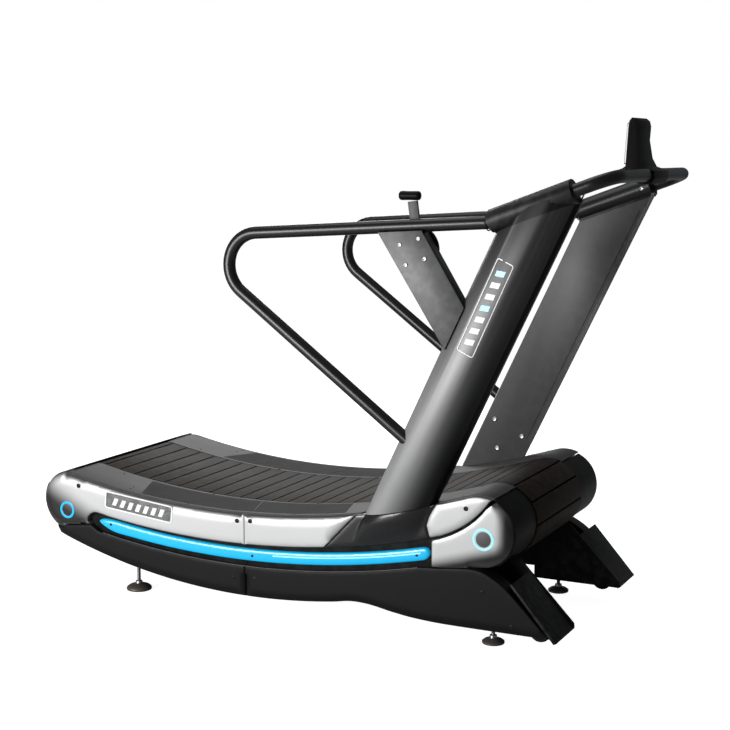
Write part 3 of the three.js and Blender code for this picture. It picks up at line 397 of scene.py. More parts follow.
def face_outline(node, depth=None):
    """The outline of a cover's outer face, read from the frame, in millimetres."""
    mesh = frame["nodes"][node].data
    bm = bmesh.new()
    bm.from_mesh(mesh)
    bmesh.ops.remove_doubles(bm, verts=bm.verts, dist=CAD_WELD)
    outer = max(abs(v.co.y) for v in bm.verts) if depth is None else depth * MM
    flat = [f for f in bm.faces if all(abs(abs(v.co.y) - outer) < 2e-5 for v in f.verts)]
    flat_set = set(flat)
    following = {}
    for face in flat:
        for loop in face.loops:
            edge = loop.edge
            if sum(1 for f in edge.link_faces if f in flat_set) == 1:
                following[loop.vert] = loop.link_loop_next.vert
    start = next(iter(following))
    outline, here = [], start
    while True:
        outline.append((here.co.x / MM - ORIGIN_X, here.co.z / MM))
        here = following[here]
        if here is start:
            break
    bm.free()
    area = sum(a[0] * b[1] - b[0] * a[1] for a, b in zip(outline, outline[1:] + outline[:1]))
    return outline if area > 0 else outline[::-1]


def smoothed(outline, step=6.0, corner=26.0):
    """Rounds a coarse outline between its real corners, and spaces its points evenly."""
    pts = [Vector(p) for p in outline]
    count = len(pts)
    sharp = []
    for i, p in enumerate(pts):
        a = p - pts[i - 1]
        b = pts[(i + 1) % count] - p
        sharp.append(a.length < 1e-6 or b.length < 1e-6 or a.angle(b) > radians(corner))
    if not any(sharp):
        sharp[0] = True
    out = []
    for i, p in enumerate(pts):
        q = pts[(i + 1) % count]
        before = pts[i - 1] if not sharp[i] else p - (q - p)
        after = pts[(i + 2) % count] if not sharp[(i + 1) % count] else q + (q - p)
        length = (q - p).length
        if length < 1e-6:
            continue
        pieces = max(1, round(length / step))
        lead = (q - before) * (length / max(1e-6, (q - before).length))
        tail = (after - p) * (length / max(1e-6, (after - p).length))
        for k in range(pieces):
            t = k / pieces
            h00 = 2 * t**3 - 3 * t**2 + 1
            h10 = t**3 - 2 * t**2 + t
            h01 = -2 * t**3 + 3 * t**2
            h11 = t**3 - t**2
            out.append(tuple(p * h00 + lead * h10 + q * h01 + tail * h11))
    return out


def to_outline(points, outline):
    """Distance of each point to a closed outline."""
    a = np.array(outline)
    b = np.roll(a, -1, axis=0)
    ab = b - a
    length = np.maximum((ab**2).sum(1), 1e-9)
    best = np.full(len(points), 1e9)
    for i in range(len(a)):
        t = np.clip(((points - a[i]) @ ab[i]) / length[i], 0, 1)
        near = a[i] + t[:, None] * ab[i]
        best = np.minimum(best, np.hypot(*(points - near).T))
    return best


def inside(points, outline):
    a = np.array(outline)
    b = np.roll(a, -1, axis=0)
    x, z = points[:, 0:1], points[:, 1:2]
    crossing = (a[:, 1] > z) != (b[:, 1] > z)
    with np.errstate(divide="ignore", invalid="ignore"):
        at_x = (b[:, 0] - a[:, 0]) * (z - a[:, 1]) / (b[:, 1] - a[:, 1]) + a[:, 0]
    return (np.sum(crossing & (x < at_x), axis=1) % 2) == 1


def crowned(outline, face_y, back_y, roll, side, grid, lift, edge):
    """A moulding whose outer face rolls over towards its outline.

    roll is a function of the outline's points, giving how wide and how deep the edge
    rolls there. lift raises the face by a function of X and Z."""
    rim = np.array(outline)
    low, high = rim.min(0), rim.max(0)
    xs = np.arange(low[0] + grid / 2, high[0], grid)
    zs = np.arange(low[1] + grid / 2, high[1], grid * 0.866)
    inner = []
    for row, z in enumerate(zs):
        shift = grid / 2 if row % 2 else 0
        inner += [(x + shift, z) for x in xs]
    inner = np.array(inner)
    inner = inner[inside(inner, rim)]
    inner = inner[to_outline(inner, rim) > grid * 0.55]
    near = []
    normal = np.roll(rim, -1, axis=0) - np.roll(rim, 1, axis=0)
    normal = np.stack([-normal[:, 1], normal[:, 0]], 1)
    normal /= np.maximum(np.hypot(*normal.T)[:, None], 1e-9)
    for inset in (0.7, 1.8, 3.6):
        ring = rim + normal * inset
        keep = inside(ring, rim)
        ring = ring[keep]
        ring = ring[to_outline(ring, rim) > inset * 0.9]
        near.append(ring)
    band = np.concatenate(near)
    gap = np.array([np.min(np.hypot(*(band - p).T)) for p in inner])
    inner = inner[gap > 2.2]
    cloud = np.concatenate([rim, band, inner])
    edges = [(i, (i + 1) % len(rim)) for i in range(len(rim))]
    made = geometry.delaunay_2d_cdt([Vector(p) for p in cloud], edges, [], 1, 1e-4)
    flat = np.array([tuple(v) for v in made[0]])
    faces = [list(f) for f in made[2]]
    distance = to_outline(flat, rim)
    depth = np.zeros(len(flat))
    widths, falls = np.array([roll(x, z) for x, z in rim], dtype=float).T
    for i, p in enumerate(flat):
        gaps = np.hypot(*(rim - p).T)
        pull = 1.0 / np.maximum(gaps, 2.0) ** 3
        width = float((widths * pull).sum() / pull.sum())
        fall = float((falls * pull).sum() / pull.sum())
        t = min(1.0, distance[i] / max(width, 1e-3))
        depth[i] = fall * (1 - sqrt(max(0.0, 1 - (1 - t) ** 2)))
        s = min(1.0, distance[i] / edge[0])
        depth[i] += edge[1] * (1 - sqrt(max(0.0, 1 - (1 - s) ** 2)))
    level = [
        face_y - depth[i] + (lift(p[0], p[1]) if lift else 0.0) for i, p in enumerate(flat)
    ]
    verts = [(p[0], side * level[i], p[1]) for i, p in enumerate(flat)]
    used = {}
    for face in faces:
        for a, b in zip(face, face[1:] + face[:1]):
            used[(a, b)] = face
    border = {a: b for (a, b) in used if (b, a) not in used}
    order, here = [], next(iter(border))
    start = here
    while True:
        order.append(here)
        here = border[here]
        if here == start:
            break
    base = len(verts)
    verts += [(flat[i][0], side * back_y, flat[i][1]) for i in order]
    count = len(order)
    for k in range(count):
        n = (k + 1) % count
        faces.append([order[k], order[n], base + n, base + k][::-1])
    faces.append([base + k for k in range(count)])
    return verts, faces


# ---- finishes ----


def feed(tree, made, inputs):
    """Links the sockets among the inputs to a node, and sets the plain values."""
    for key, value in inputs.items():
        if isinstance(value, bpy.types.NodeSocket):
            tree.links.new(value, made.inputs[key])
        else:
            made.inputs[key].default_value = value
    return made


def node(tree, kind, inputs=None, **settings):
    made = tree.nodes.new("ShaderNode" + kind)
    for key, value in settings.items():
        setattr(made, key, value)
    return feed(tree, made, inputs or {})


def maths(tree, operation, a, b):
    return node(tree, "Math", {0: a, 1: b}, operation=operation).outputs[0]


def times(tree, a, b):
    return maths(tree, "MULTIPLY", a, b)


def plus(tree, a, b):
    return maths(tree, "ADD", a, b)


def swing(tree, value, amount):
    """How far a value is above or below a half, times an amount."""
    return times(tree, maths(tree, "SUBTRACT", value, 0.5), amount)


def ranged(tree, value, low, high):
    """A smooth step from 0 to 1 as the value goes from low to high."""
    inputs = {"Value": value, "From Min": low, "From Max": high}
    return node(tree, "MapRange", inputs, interpolation_type="SMOOTHSTEP").outputs[0]


def mixed(tree, factor, a, b):
    return node(tree, "Mix", {0: factor, 6: a, 7: b}, data_type="RGBA").outputs[2]


def noise(tree, place, scale, detail):
    inputs = {"Vector": place, "Scale": scale, "Detail": detail}
    return node(tree, "TexNoise", inputs).outputs[0]


def own_place(tree):
    return node(tree, "TexCoord").outputs["Object"]


def grey(value, warmth=0.0):
    return (value * (1 + warmth), value, value * (1 - warmth), 1.0)


def shader_group(name, inputs, outputs):
    """An empty group with its sockets; returns the tree, its inputs and its output node."""
    tree = bpy.data.node_groups.new(name, "ShaderNodeTree")
    for label, value in inputs.items():
        kind = "Float" if isinstance(value, float) else {3: "Vector", 4: "Color"}[len(value)]
        socket = tree.interface.new_socket(
            label, in_out="INPUT", socket_type="NodeSocket" + kind
        )
        socket.default_value = value
    for label in outputs:
        kind = "Color" if label == "Color" else "Float"
        tree.interface.new_socket(label, in_out="OUTPUT", socket_type="NodeSocket" + kind)
    return tree, tree.nodes.new("NodeGroupInput").outputs, tree.nodes.new("NodeGroupOutput")


def make_aged_coat():
    """Mottling, rubbed edges and settled dust over a base colour."""
    inputs = {
        "Base": grey(0.5), "Worn": grey(0.6), "Dust": (0.4, 0.39, 0.37, 1), "Mottle": 0.1,
        "Wear": 0.3, "Dust Amount": 0.1, "Roughness": 0.4, "Roughness Spread": 0.1,
        "Grain Scale": 900.0
    }
    tree, given, out = shader_group("aged coat", inputs, ("Color", "Roughness", "Height"))
    place = own_place(tree)
    broad = noise(tree, place, 5.5, 4.0)
    fine = noise(tree, place, given["Grain Scale"], 2.0)
    shape = node(tree, "NewGeometry")
    edge = ranged(tree, shape.outputs["Pointiness"], 0.515, 0.58)
    patch = ranged(tree, noise(tree, place, 38.0, 3.0), 0.38, 0.66)
    edge = times(tree, times(tree, edge, patch), given["Wear"])
    up = node(tree, "SeparateXYZ", {0: shape.outputs["Normal"]}).outputs[2]
    settled = ranged(tree, noise(tree, place, 13.0, 5.0), 0.36, 0.78)
    dusty = times(tree, ranged(tree, up, 0.25, 0.98), settled)
    dusty = times(tree, dusty, given["Dust Amount"])
    shade = swing(tree, broad, given["Mottle"])
    shade = plus(tree, plus(tree, shade, swing(tree, fine, given["Mottle"])), 1.0)
    scaled = {0: given["Base"], 3: shade}
    tinted = node(tree, "VectorMath", scaled, operation="SCALE").outputs[0]
    worn = mixed(tree, edge, tinted, given["Worn"])
    colour = mixed(tree, dusty, worn, given["Dust"])
    rough = plus(tree, swing(tree, broad, given["Roughness Spread"]), given["Roughness"])
    rough = plus(tree, rough, times(tree, dusty, 0.3))
    rough = plus(tree, rough, swing(tree, fine, 0.12))
    feed(tree, out, {"Color": colour, "Roughness": rough, "Height": fine})
    return tree


def make_stipple():
    """The fine pitted face of moulded plastic and rubber."""
    tree, given, out = shader_group("moulded stipple", {"Scale": 800.0}, ("Height",))
    place = own_place(tree)
    cells = node(tree, "TexVoronoi", {"Vector": place, "Scale": given["Scale"]})
    soft = noise(tree, place, given["Scale"], 1.0)
    height = plus(tree, times(tree, cells.outputs["Distance"], 0.6), times(tree, soft, 0.5))
    feed(tree, out, {"Height": height})
    return tree


def make_streaks():
    """Long streaks, such as grain in a slat or turning marks in steel."""
    inputs = {"Stretch": (1.0, 1.0, 1.0), "Scale": 60.0}
    tree, given, out = shader_group("streaks", inputs, ("Mask", "Height"))
    stretched = {0: own_place(tree), 1: given["Stretch"]}
    place = node(tree, "VectorMath", stretched, operation="MULTIPLY").outputs[0]
    coarse = noise(tree, place, given["Scale"], 6.0)
    finer = noise(tree, place, times(tree, given["Scale"], 4.0), 3.0)
    both = plus(tree, times(tree, coarse, 0.65), times(tree, finer, 0.35))
    feed(tree, out, {"Mask": ranged(tree, both, 0.36, 0.64), "Height": both})
    return tree


def make_graded():
    """A soft change from one side of the object to another, along a direction; the finishes use
    it for painted shade and for the black sleeve edge.
    """
    inputs = {"Direction": (1.0, 0.0, 0.0), "Start": 0.0, "End": 1.0}
    tree, given, out = shader_group("graded", inputs, ("Mask",))
    both = {0: own_place(tree), 1: given["Direction"]}
    along = node(tree, "VectorMath", both, operation="DOT_PRODUCT").outputs["Value"]
    feed(tree, out, {"Mask": ranged(tree, along, given["Start"], given["End"])})
    return tree


def make_tilt_shade():
    """How far a face tilts up or down from upright: the mask of a painted shade on tilted
    faces.
    """
    tree, given, out = shader_group("painted tilt shade", {"Start": 0.1, "End": 0.6}, ("Mask",))
    normal = node(tree, "NewGeometry").outputs["Normal"]
    up = node(tree, "SeparateXYZ", {0: normal}).outputs[2]
    up = maths(tree, "ABSOLUTE", up, 0.0)
    feed(tree, out, {"Mask": ranged(tree, up, given["Start"], given["End"])})
    return tree


AGED_COAT = make_aged_coat()
TILT_SHADE = make_tilt_shade()
STIPPLE = make_stipple()
STREAKS = make_streaks()
GRADED = make_graded()


def grouped(tree, group, inputs):
    made = tree.nodes.new("ShaderNodeGroup")
    made.node_tree = group
    return feed(tree, made, inputs).outputs


def finish(
    name, base, rough, metal=0.0, worn=None, mottle=0.12, wear=0.2, dust=0.02, spread=0.1,
    grain=1200.0, bump=0.08, depth=0.0002, coat=0.0, stipple=None, streak=None, fades=(),
    tilt_shade=None, glow=0.0, shine=0.5
):
    """A painted, moulded or machined finish built from the shared effects.

    streak is (stretch, scale, other colour, strength). Each of the fades is (other colour,
    direction, start, end) and darkens one side: painted shade, except the sleeve edge, which is
    the sleeve's own black. The tilt shade is (colour of faces that tilt up or down, start,
    end): painted shade on tilted faces."""
    material = bpy.data.materials.new(name)
    material.use_nodes = True
    tree = material.node_tree
    surface = tree.nodes["Principled BSDF"]
    colour = base
    heights = []
    # Each fade darkens one side: painted shade, except the sleeve edge, which is the sleeve's
    # own black.
    for other, direction, start, end in fades:
        mask = grouped(tree, GRADED, {"Direction": direction, "Start": start, "End": end})
        colour = mixed(tree, mask["Mask"], colour, other)
    # Painted shade: faces that tilt up or down from upright get the darker colour.
    if tilt_shade:
        mask = grouped(tree, TILT_SHADE, {"Start": tilt_shade[1], "End": tilt_shade[2]})
        colour = mixed(tree, mask["Mask"], colour, tilt_shade[0])
    if streak:
        lines = grouped(tree, STREAKS, {"Stretch": streak[0], "Scale": streak[1]})
        amount = times(tree, lines["Mask"], streak[3])
        colour = mixed(tree, amount, colour, streak[2])
        heights.append(lines["Height"])
    given = {
        "Base": colour, "Worn": worn or tuple(min(1, c * 1.9 + 0.02) for c in base[:3]) + (1,),
        "Mottle": mottle, "Wear": wear, "Dust Amount": dust, "Roughness": rough,
        "Roughness Spread": spread, "Grain Scale": grain
    }
    aged = grouped(tree, AGED_COAT, given)
    heights.append(aged["Height"])
    if stipple:
        heights.append(grouped(tree, STIPPLE, {"Scale": stipple})["Height"])
    height = heights[0]
    for more in heights[1:]:
        height = plus(tree, height, more)
    raised = node(tree, "Bump", {"Height": height, "Strength": bump, "Distance": depth})
    looks = {
        "Base Color": aged["Color"], "Roughness": aged["Roughness"],
        "Normal": raised.outputs[0], "Metallic": metal, "Coat Weight": coat,
        "Coat Roughness": 0.18, "Specular IOR Level": shine
    }
    feed(tree, surface, looks)
    if glow:
        feed(tree, surface, {"Emission Color": aged["Color"], "Emission Strength": glow})
    return material


COS_LEAN = cos(LEAN_ANGLE)
SIN_LEAN = sin(LEAN_ANGLE)
shell_start = (ORIGIN_X + UPRIGHT_FOOT) * COS_LEAN * MM
shell_width = UPRIGHT_DEPTH * COS_LEAN * MM

sleeve_line = (
    SLEEVE_FOOT[1] * cos(SLEEVE_TILT) - (SLEEVE_FOOT[0] + ORIGIN_X) * sin(SLEEVE_TILT)
) * MM
sleeve_edge = (
    grey(0.008), (-sin(SLEEVE_TILT), 0.0, cos(SLEEVE_TILT)), sleeve_line - 0.0335,
    sleeve_line - 0.0325
)
# Where the painted shade on the silver covers begins: towards the lower rear of the rear
# covers, and towards the bottom of the front covers.
rear_shade_line = 0.5 * -(REAR_X + ORIGIN_X) * MM - REAR_Z * MM
front_shade_line = (0.3 * ORIGIN_X - FRONT_Z) * MM


# Satin silver with painted shade: faces that turn up or down from upright are darkened, and so
# is one side through the fades.
def silver(name, fades):
    return finish(
        name, grey(0.5), 0.36, metal=0.25, worn=grey(0.7), mottle=0.08, wear=0.15, dust=0.03,
        spread=0.05, grain=2600.0, bump=0.05, coat=0.1, fades=fades,
        tilt_shade=(grey(0.06), 0.06, 0.62)
    )


# The rear and middle covers: painted shade darkens the silver towards the lower rear end.
SILVER_WITH_PAINTED_SHADE = silver(
    "silver paint with painted shade",
    ((grey(0.006), (-0.5, 0.0, -1.0), rear_shade_line - 0.06, rear_shade_line + 0.04),)
)
# The front covers: painted shade darkens the silver towards the bottom and towards the front
# end.
front_painted_shades = (
    (grey(0.006), (0.3, 0.0, -1.0), front_shade_line + 0.035, front_shade_line + 0.085),
    (grey(0.004), (1.0, 0.0, 0.0), (ORIGIN_X + 42) * MM, (ORIGIN_X + 84) * MM)
)
FRONT_SILVER_WITH_PAINTED_SHADE = silver("front silver paint with painted shade", front_painted_shades)
# The fairing's paint carries painted shade: it darkens to near black from the rear edge to the
# front, and it is darker towards the top. The last fade is the sleeve's own black edge.
shell_shades_and_sleeve_edge = (
    (
        grey(0.003), (COS_LEAN, 0.0, -SIN_LEAN), shell_start + shell_width * 0.1,
        shell_start + shell_width * 0.92
    ),
    (grey(0.035), (0.0, 0.0, 1.0), 0.55, 1.3), sleeve_edge
)
SHELL_WITH_PAINTED_SHADE = finish(
    "metallic grey upright paint with painted shade", grey(0.34), 0.4, metal=0.35, mottle=0.1, wear=0.0, dust=0.01,
    spread=0.04, grain=1700.0, bump=0.07, fades=shell_shades_and_sleeve_edge, shine=0.35
)
POST = finish(
    "grey upright plate paint", grey(0.06), 0.45, metal=0.25, mottle=0.1, wear=0.15,
    spread=0.05, grain=1700.0, bump=0.07, fades=(sleeve_edge,), shine=0.3
)
TUBE_BLACK = finish(
    "black powder coat", grey(0.006), 0.34, worn=grey(0.02), wear=0.1, dust=0.01, spread=0.03,
    grain=1500.0, bump=0.12, coat=0.08, shine=0.35
)
CHARCOAL = finish(
    "moulded charcoal cover", grey(0.006), 0.45, worn=grey(0.04), mottle=0.1, spread=0.05,
    grain=900.0, bump=0.1, stipple=950.0, shine=0.12
)
SHROUD = finish(
    "gloss black moulding", grey(0.008), 0.26, worn=grey(0.05), spread=0.05, grain=1400.0,
    bump=0.05, coat=0.12, shine=0.4
)
BLACK_MOULDING = finish(
    "satin black moulding", grey(0.003), 0.42, worn=grey(0.04), spread=0.05, grain=1100.0,
    bump=0.12, stipple=1300.0, shine=0.08
)
FRAME_PAINT = finish(
    "matt black frame paint", grey(0.006), 0.5, worn=grey(0.06), wear=0.3, spread=0.05,
    grain=800.0, bump=0.14, shine=0.15
)
FENDER_GREY = finish(
    "textured grey fender", grey(0.045, 0.03), 0.55, worn=grey(0.13), dust=0.03, spread=0.06,
    grain=1000.0, bump=0.25, stipple=900.0, shine=0.3
)
PAD_GREY = finish(
    "anti-slip pad", grey(0.034, 0.03), 0.72, worn=grey(0.1), mottle=0.2, dust=0.03,
    spread=0.06, grain=700.0, bump=0.9, depth=0.0006, stipple=330.0,
    streak=((1.0, 1.0, 1.0), 210.0, grey(0.022), 0.75), shine=0.2
)
SLAT_BROWN = finish(
    "grained brown slat", (0.02, 0.0135, 0.009, 1), 0.6, worn=(0.06, 0.044, 0.032, 1),
    mottle=0.25, wear=0.3, dust=0.015, spread=0.06, grain=700.0, bump=0.5, depth=0.0004,
    streak=((9.0, 0.55, 9.0), 34.0, (0.009, 0.0055, 0.0035, 1), 0.9), shine=0.12
)
CARRIER_BLACK = finish(
    "belt carrier rubber", grey(0.004), 0.85, wear=0.35, bump=0.4, stipple=600.0, shine=0.1
)
BRACKET_GREY = finish(
    "satin grey bracket paint", grey(0.075), 0.42, metal=0.2, worn=grey(0.22), mottle=0.1,
    spread=0.05, grain=1500.0, shine=0.3
)
# The glow lights the strip lens; the rear rings and the badge accents share this finish, so
# their glow is painted glow.
CYAN = finish(
    "cyan light strip", (0.0, 0.4, 0.72, 1), 0.26, worn=(0.1, 0.7, 0.95, 1), mottle=0.08,
    wear=0.1, bump=0.03, coat=0.3, glow=0.22
)
# Glowing pale cyan: the painted highlight along the strip lens, and painted glow on the front
# rings.
PALE_CYAN = finish(
    "pale cyan highlight", (0.32, 0.83, 0.98, 1), 0.22, mottle=0.05, wear=0.0, dust=0.0,
    bump=0.02, glow=0.25
)
STEEL = finish(
    "machined steel", grey(0.34), 0.32, metal=0.9, worn=grey(0.6), wear=0.35, dust=0.03,
    spread=0.06, grain=1800.0, bump=0.1, streak=((1.0, 14.0, 1.0), 55.0, grey(0.2), 0.6)
)
DARK_STEEL = finish(
    "blackened screw steel", grey(0.008), 0.4, metal=0.4, worn=grey(0.1), grain=2600.0,
    shine=0.3
)
BRIGHT_STEEL = finish(
    "bright screw steel", grey(0.62), 0.3, metal=0.4, worn=grey(0.8), wear=0.35, dust=0.06,
    grain=2600.0, streak=((1.0, 1.0, 12.0), 240.0, grey(0.4), 0.5)
)
RUBBER = finish(
    "black rubber", grey(0.008), 0.78, worn=grey(0.03), wear=0.35, dust=0.06, spread=0.06,
    grain=600.0, bump=0.4, stipple=700.0, shine=0.2
)
FOOT_GREY = finish(
    "cast foot pad", (0.085, 0.072, 0.06, 1), 0.5, metal=0.3, worn=grey(0.2), wear=0.35,
    dust=0.05, spread=0.06, grain=900.0, bump=0.2, stipple=800.0, shine=0.3
)
GLASS = finish(
    "dark display window", grey(0.004), 0.08, worn=grey(0.02), mottle=0.05, wear=0.1,
    spread=0.04, bump=0.02, coat=0.5
)
PLATE_GREY = finish(
    "badge plate", grey(0.06), 0.35, metal=0.5, worn=grey(0.25), wear=0.35, dust=0.06,
    grain=900.0, bump=0.06, streak=((6.0, 1.0, 6.0), 30.0, grey(0.2), 0.7)
)
WHITE_INK = finish(
    "white printed line", grey(0.8), 0.4, mottle=0.06, wear=0.1, dust=0.03, bump=0.03
)


def second_finish(obj, picked):
    """Gives the faces that picked chooses the second of the finishes."""
    for polygon in obj.data.polygons:
        if picked(polygon):
            polygon.material_index = 1


# ---- belt ----


def belt_stretch(name, centre, neutral, inward, start, end, body, replaced):
    """Bevelled slats side by side on a carrier, along an arc."""
    count = round(neutral * abs(end - start) / 60.0)
    step = (end - start) / count
    out = -1 if inward else 1
    face = neutral + out * SLAT_HEIGHT
    half = min(
        28.4, abs(step) * min(face, neutral) / 2 - 0.9
    ) if inward else abs(step) * face / 2 - 2.6
    steps = [(-1.0, 2.2), (-1.0, 17.5), (-0.985, 20.2), (-0.93, 21.6), (-0.5, 22.0)]
    steps += [(-u, h) for u, h in steps[::-1]]
    parts = []
    for i in range(count):
        middle = start + step * (i + 0.5)

        def section(y, shrink, middle=middle):
            ring = []
            for u, h in steps:
                s = u * (half - shrink)
                r = neutral + out * max(2.2, h - shrink)
                a = middle + s / face
                x, z = round_axle(centre, r, a)
                ring.append((x, y, z))
            return ring

        ends = [(-BELT_HALF, 1.6), (-BELT_HALF + 0.6, 0.5), (-BELT_HALF + 2, 0)]
        ends += [(-y, shrink) for y, shrink in ends[::-1]]
        parts.append(rings([section(y, shrink) for y, shrink in ends]))
    turns = spread(start + step * 0.02, end - step * 0.02, count * 4)
    loop = [round_axle(centre, neutral + 2, a) for a in turns]
    loop += [round_axle(centre, neutral - 2, a) for a in turns[::-1]]
    slats = len(parts)
    parts.append(slab(loop, -BELT_HALF + 3, BELT_HALF - 3))
    obj = piece(
        name, merged(parts), [SLAT_BROWN, CARRIER_BLACK], body=body, smooth=34,
        replaces=(replaced,), slot="slat"
    )
    carrier_from = sum(len(v) for v, _ in parts[:slats])
    second_finish(obj, lambda polygon: min(polygon.vertices) >= carrier_from)


def make_belt():
    deck = (DECK_X, DECK_Z)
    front, rear, below = FRONT_AXLE, REAR_AXLE, (RETURN_X, RETURN_Z)

    def turn(a, b):
        return atan2(b[1] - a[1], b[0] - a[0])

    top_front, top_rear = turn(deck, front), turn(deck, rear)
    low_front, low_rear = turn(below, front), turn(below, rear)
    belt_stretch(
        "belt_top_slats", deck, DECK_RADIUS + SLAT_HEIGHT, True, top_rear, top_front,
        "belt_top", "belt_top_run"
    )
    belt_stretch(
        "belt_front_slats", front, FRONT_WRAP - SLAT_HEIGHT, False, top_front + pi, low_front,
        "belt_front", "belt_front_wrap"
    )
    belt_stretch(
        "belt_bottom_slats", below, RETURN_RADIUS - SLAT_HEIGHT, False, low_front, low_rear,
        "belt_bottom", "belt_bottom_run"
    )
    belt_stretch(
        "belt_rear_slats", rear, REAR_WRAP - SLAT_HEIGHT, False, low_rear + 2 * pi,
        top_rear + pi, "belt_rear", "belt_rear_wrap"
    )


def repaint(obj, other, chosen):
    """Gives the faces that chosen picks, by their middle in millimetres, another finish."""
    obj.data.materials.append(other)

    def picked(polygon):
        c = polygon.center
        return chosen(c.x / MM - ORIGIN_X, abs(c.y) / MM, c.z / MM)

    second_finish(obj, picked)


# ---- fenders, pads and bands ----


def screw_head(x, y, z, axis, radius, height):
    """A domed head with a hex socket, standing on a face."""
    profile = [
        (0, height * 0.35), (radius * 0.42, height * 0.35), (radius * 0.48, height * 0.95),
        (radius * 0.7, height), (radius * 0.92, height * 0.62), (radius, height * 0.15),
        (radius, -1.2), (0, -1.2)
    ]
    return lathe(profile, (x, y, z), axis, 24)


def washer_ring(x, y, z, axis, inner, outer, height):
    profile = softened(
        [(inner, -1.0), (inner, height), (outer, height), (outer, -1.0), (inner, -1.0)], 0.5
    )
    return lathe(profile, (x, y, z), axis, 40)


NOTCH = (-380.0, -131.0, 358.5)


def make_fender(label, side):
    section = [(212, 4.0), (212, 0.8), (213, 0.0), (300, -0.35), (380.5, 0.0), (383.8, 0.7)]
    section += [(385.6, 2.2), (386, 4.0)]
    stations = deck_line(0.0, REAR_SEAM, SEAM)
    lines = {d: deck_line(d, REAR_SEAM, SEAM) for d in {d for _, d in section}}
    loops = []
    for i, (x, _) in enumerate(stations):
        clipped = NOTCH[0] < x < NOTCH[1]
        loop = []
        for y, d in section:
            px, pz = lines[d][i]
            limit = NOTCH[2] - (0.5 if d == 4.0 else 0.0)
            loop.append((px, side * (min(y, limit) if clipped else y), pz))
        loops.append(loop)
    name = f"fender_{label}_strip"
    piece(
        name, rings(loops), FENDER_GREY, smooth=30, replaces=(f"fender_{label}",), slot="fender"
    )


def pad_panel(label, side, number, rear, front):
    """A thin gripping pad whose two ends are given as (X at the outer side, X at the inner)."""
    across = [
        (226, 0.0), (227, -0.9), (260, -1.25), (300, -1.35), (336, -1.25), (367, -0.9),
        (368, 0.0)
    ]
    loops = []
    for u in [0.0, 0.004] + spread(0.02, 0.98, 34) + [0.996, 1.0]:
        top = []
        for y, d in across:
            v = (y - 226) / 142
            a = rear[1] + (rear[0] - rear[1]) * v
            b = front[1] + (front[0] - front[1]) * v
            x = a + (b - a) * u
            low = u in (0.0, 1.0)
            top.append((x, side * y, deck_z(x, -0.3 if low else d)))
        under = [(x, y, deck_z(x, 1.0)) for x, y, _ in top[::-1]]
        loops.append(top + under)
    piece(f"grip_pad_{label}_{number}", rings(loops), PAD_GREY, smooth=24, slot="fender")


def make_pads(label, side):
    joints_x = [(-1194, -1247), (-773, -820), (-447, -490)]
    for i in range(2):
        rear = tuple(x + 1.5 for x in joints_x[i])
        front = tuple(x - 1.5 for x in joints_x[i + 1])
        pad_panel(label, side, i + 1, rear, front)
    heads = []
    for x, y in (
        (-1250, 330), (-1244, 356), (-1350, 240), (-1010, 374), (-620, 374), (-60, 374),
        (-60, 224), (-620, 219), (-1010, 219)
    ):
        slope = Vector((DECK_X - x, 0, DECK_Z - deck_z(x))).normalized()
        heads.append(screw_head(x, side * y, deck_z(x), slope, 3.2, 1.4))
    piece(f"fender_{label}_screws", merged(heads), DARK_STEEL)


def band(
    name, centre, inner, outer, start, end, half_section, finish_used, replaced, slot, count=60
):
    """A bent sheet round an axle, with a section of (Y, share of thickness) points."""
    loops = []
    for a in spread(radians(start), radians(end), count):
        rays = [
            (y, round_axle(centre, inner + (outer - inner) * t, a)) for y, t in half_section
        ]
        loops.append([(x, y, z) for y, (x, z) in rays])
    return piece(name, rings(loops), finish_used, smooth=30, replaces=(replaced,), slot=slot)


def make_bands():
    for label, side in SIDES:
        section = [
            (212, 0.0), (212, 0.7), (213, 1.0), (380, 1.0), (383, 0.8), (384, 0.3), (384, 0.0)
        ]
        section = [(side * y, t) for y, t in section]
        band(
            f"front_corner_band_{label}", FRONT_AXLE, 106.5, 109.0, 67.0, -60.0, section,
            BLACK_MOULDING, f"front_edge_band_{label}", "console"
        )
    section = [(-338, 0.0), (-338, 0.6), (-336.5, 1.0), (-212.4, 1.0), (-211.6, 1.0)]
    section += [(-y, t) for y, t in section[::-1]]
    end = band(
        "rear_end_cover", REAR_AXLE, 98.0, 100.5, 99.0, 240.0, section, BLACK_MOULDING,
        "rear_cross_cover", "console", 70
    )
    repaint(end, FENDER_GREY, lambda x, y, z: y > 212 and z > REAR_Z)


# ---- side covers ----

FACE_Y = 397.0
BACK_Y = 341.0
COVER_EDGE = (2.4, 1.7)
COVER_JOINT_X = -790
SHELL_INNER_Y = 371.3
SHELL_SWELL = 62.7


def near_rear_end(x, z):
    """The round part of the outline behind the rear axle."""
    return x < REAR_X + 70 and hypot(x - REAR_X, z - REAR_Z) > 88


def shell_y(u):
    """How far out the fairing of the upright stands, from its rear edge at 0 to front at 1."""
    c = abs(2 * u - 1)
    if c >= 1:
        return SHELL_INNER_Y
    return SHELL_INNER_Y + SHELL_SWELL * sqrt(max(0.0, 1 - c ** (2 / 0.9)))


def blend_step(t):
    t = min(1.0, max(0.0, t))
    return t * t * (3 - 2 * t)


def shroud_lift(x, z):
    """Raises the shroud over the upright, more towards its top."""
    lowest = deck_z(x, 100)
    share = (z - lowest) / 96
    u = (x - upright_rear(z)) / UPRIGHT_DEPTH
    return max(0.0, shell_y(u) + 2.0 - FACE_Y) * blend_step(share * 1.25)


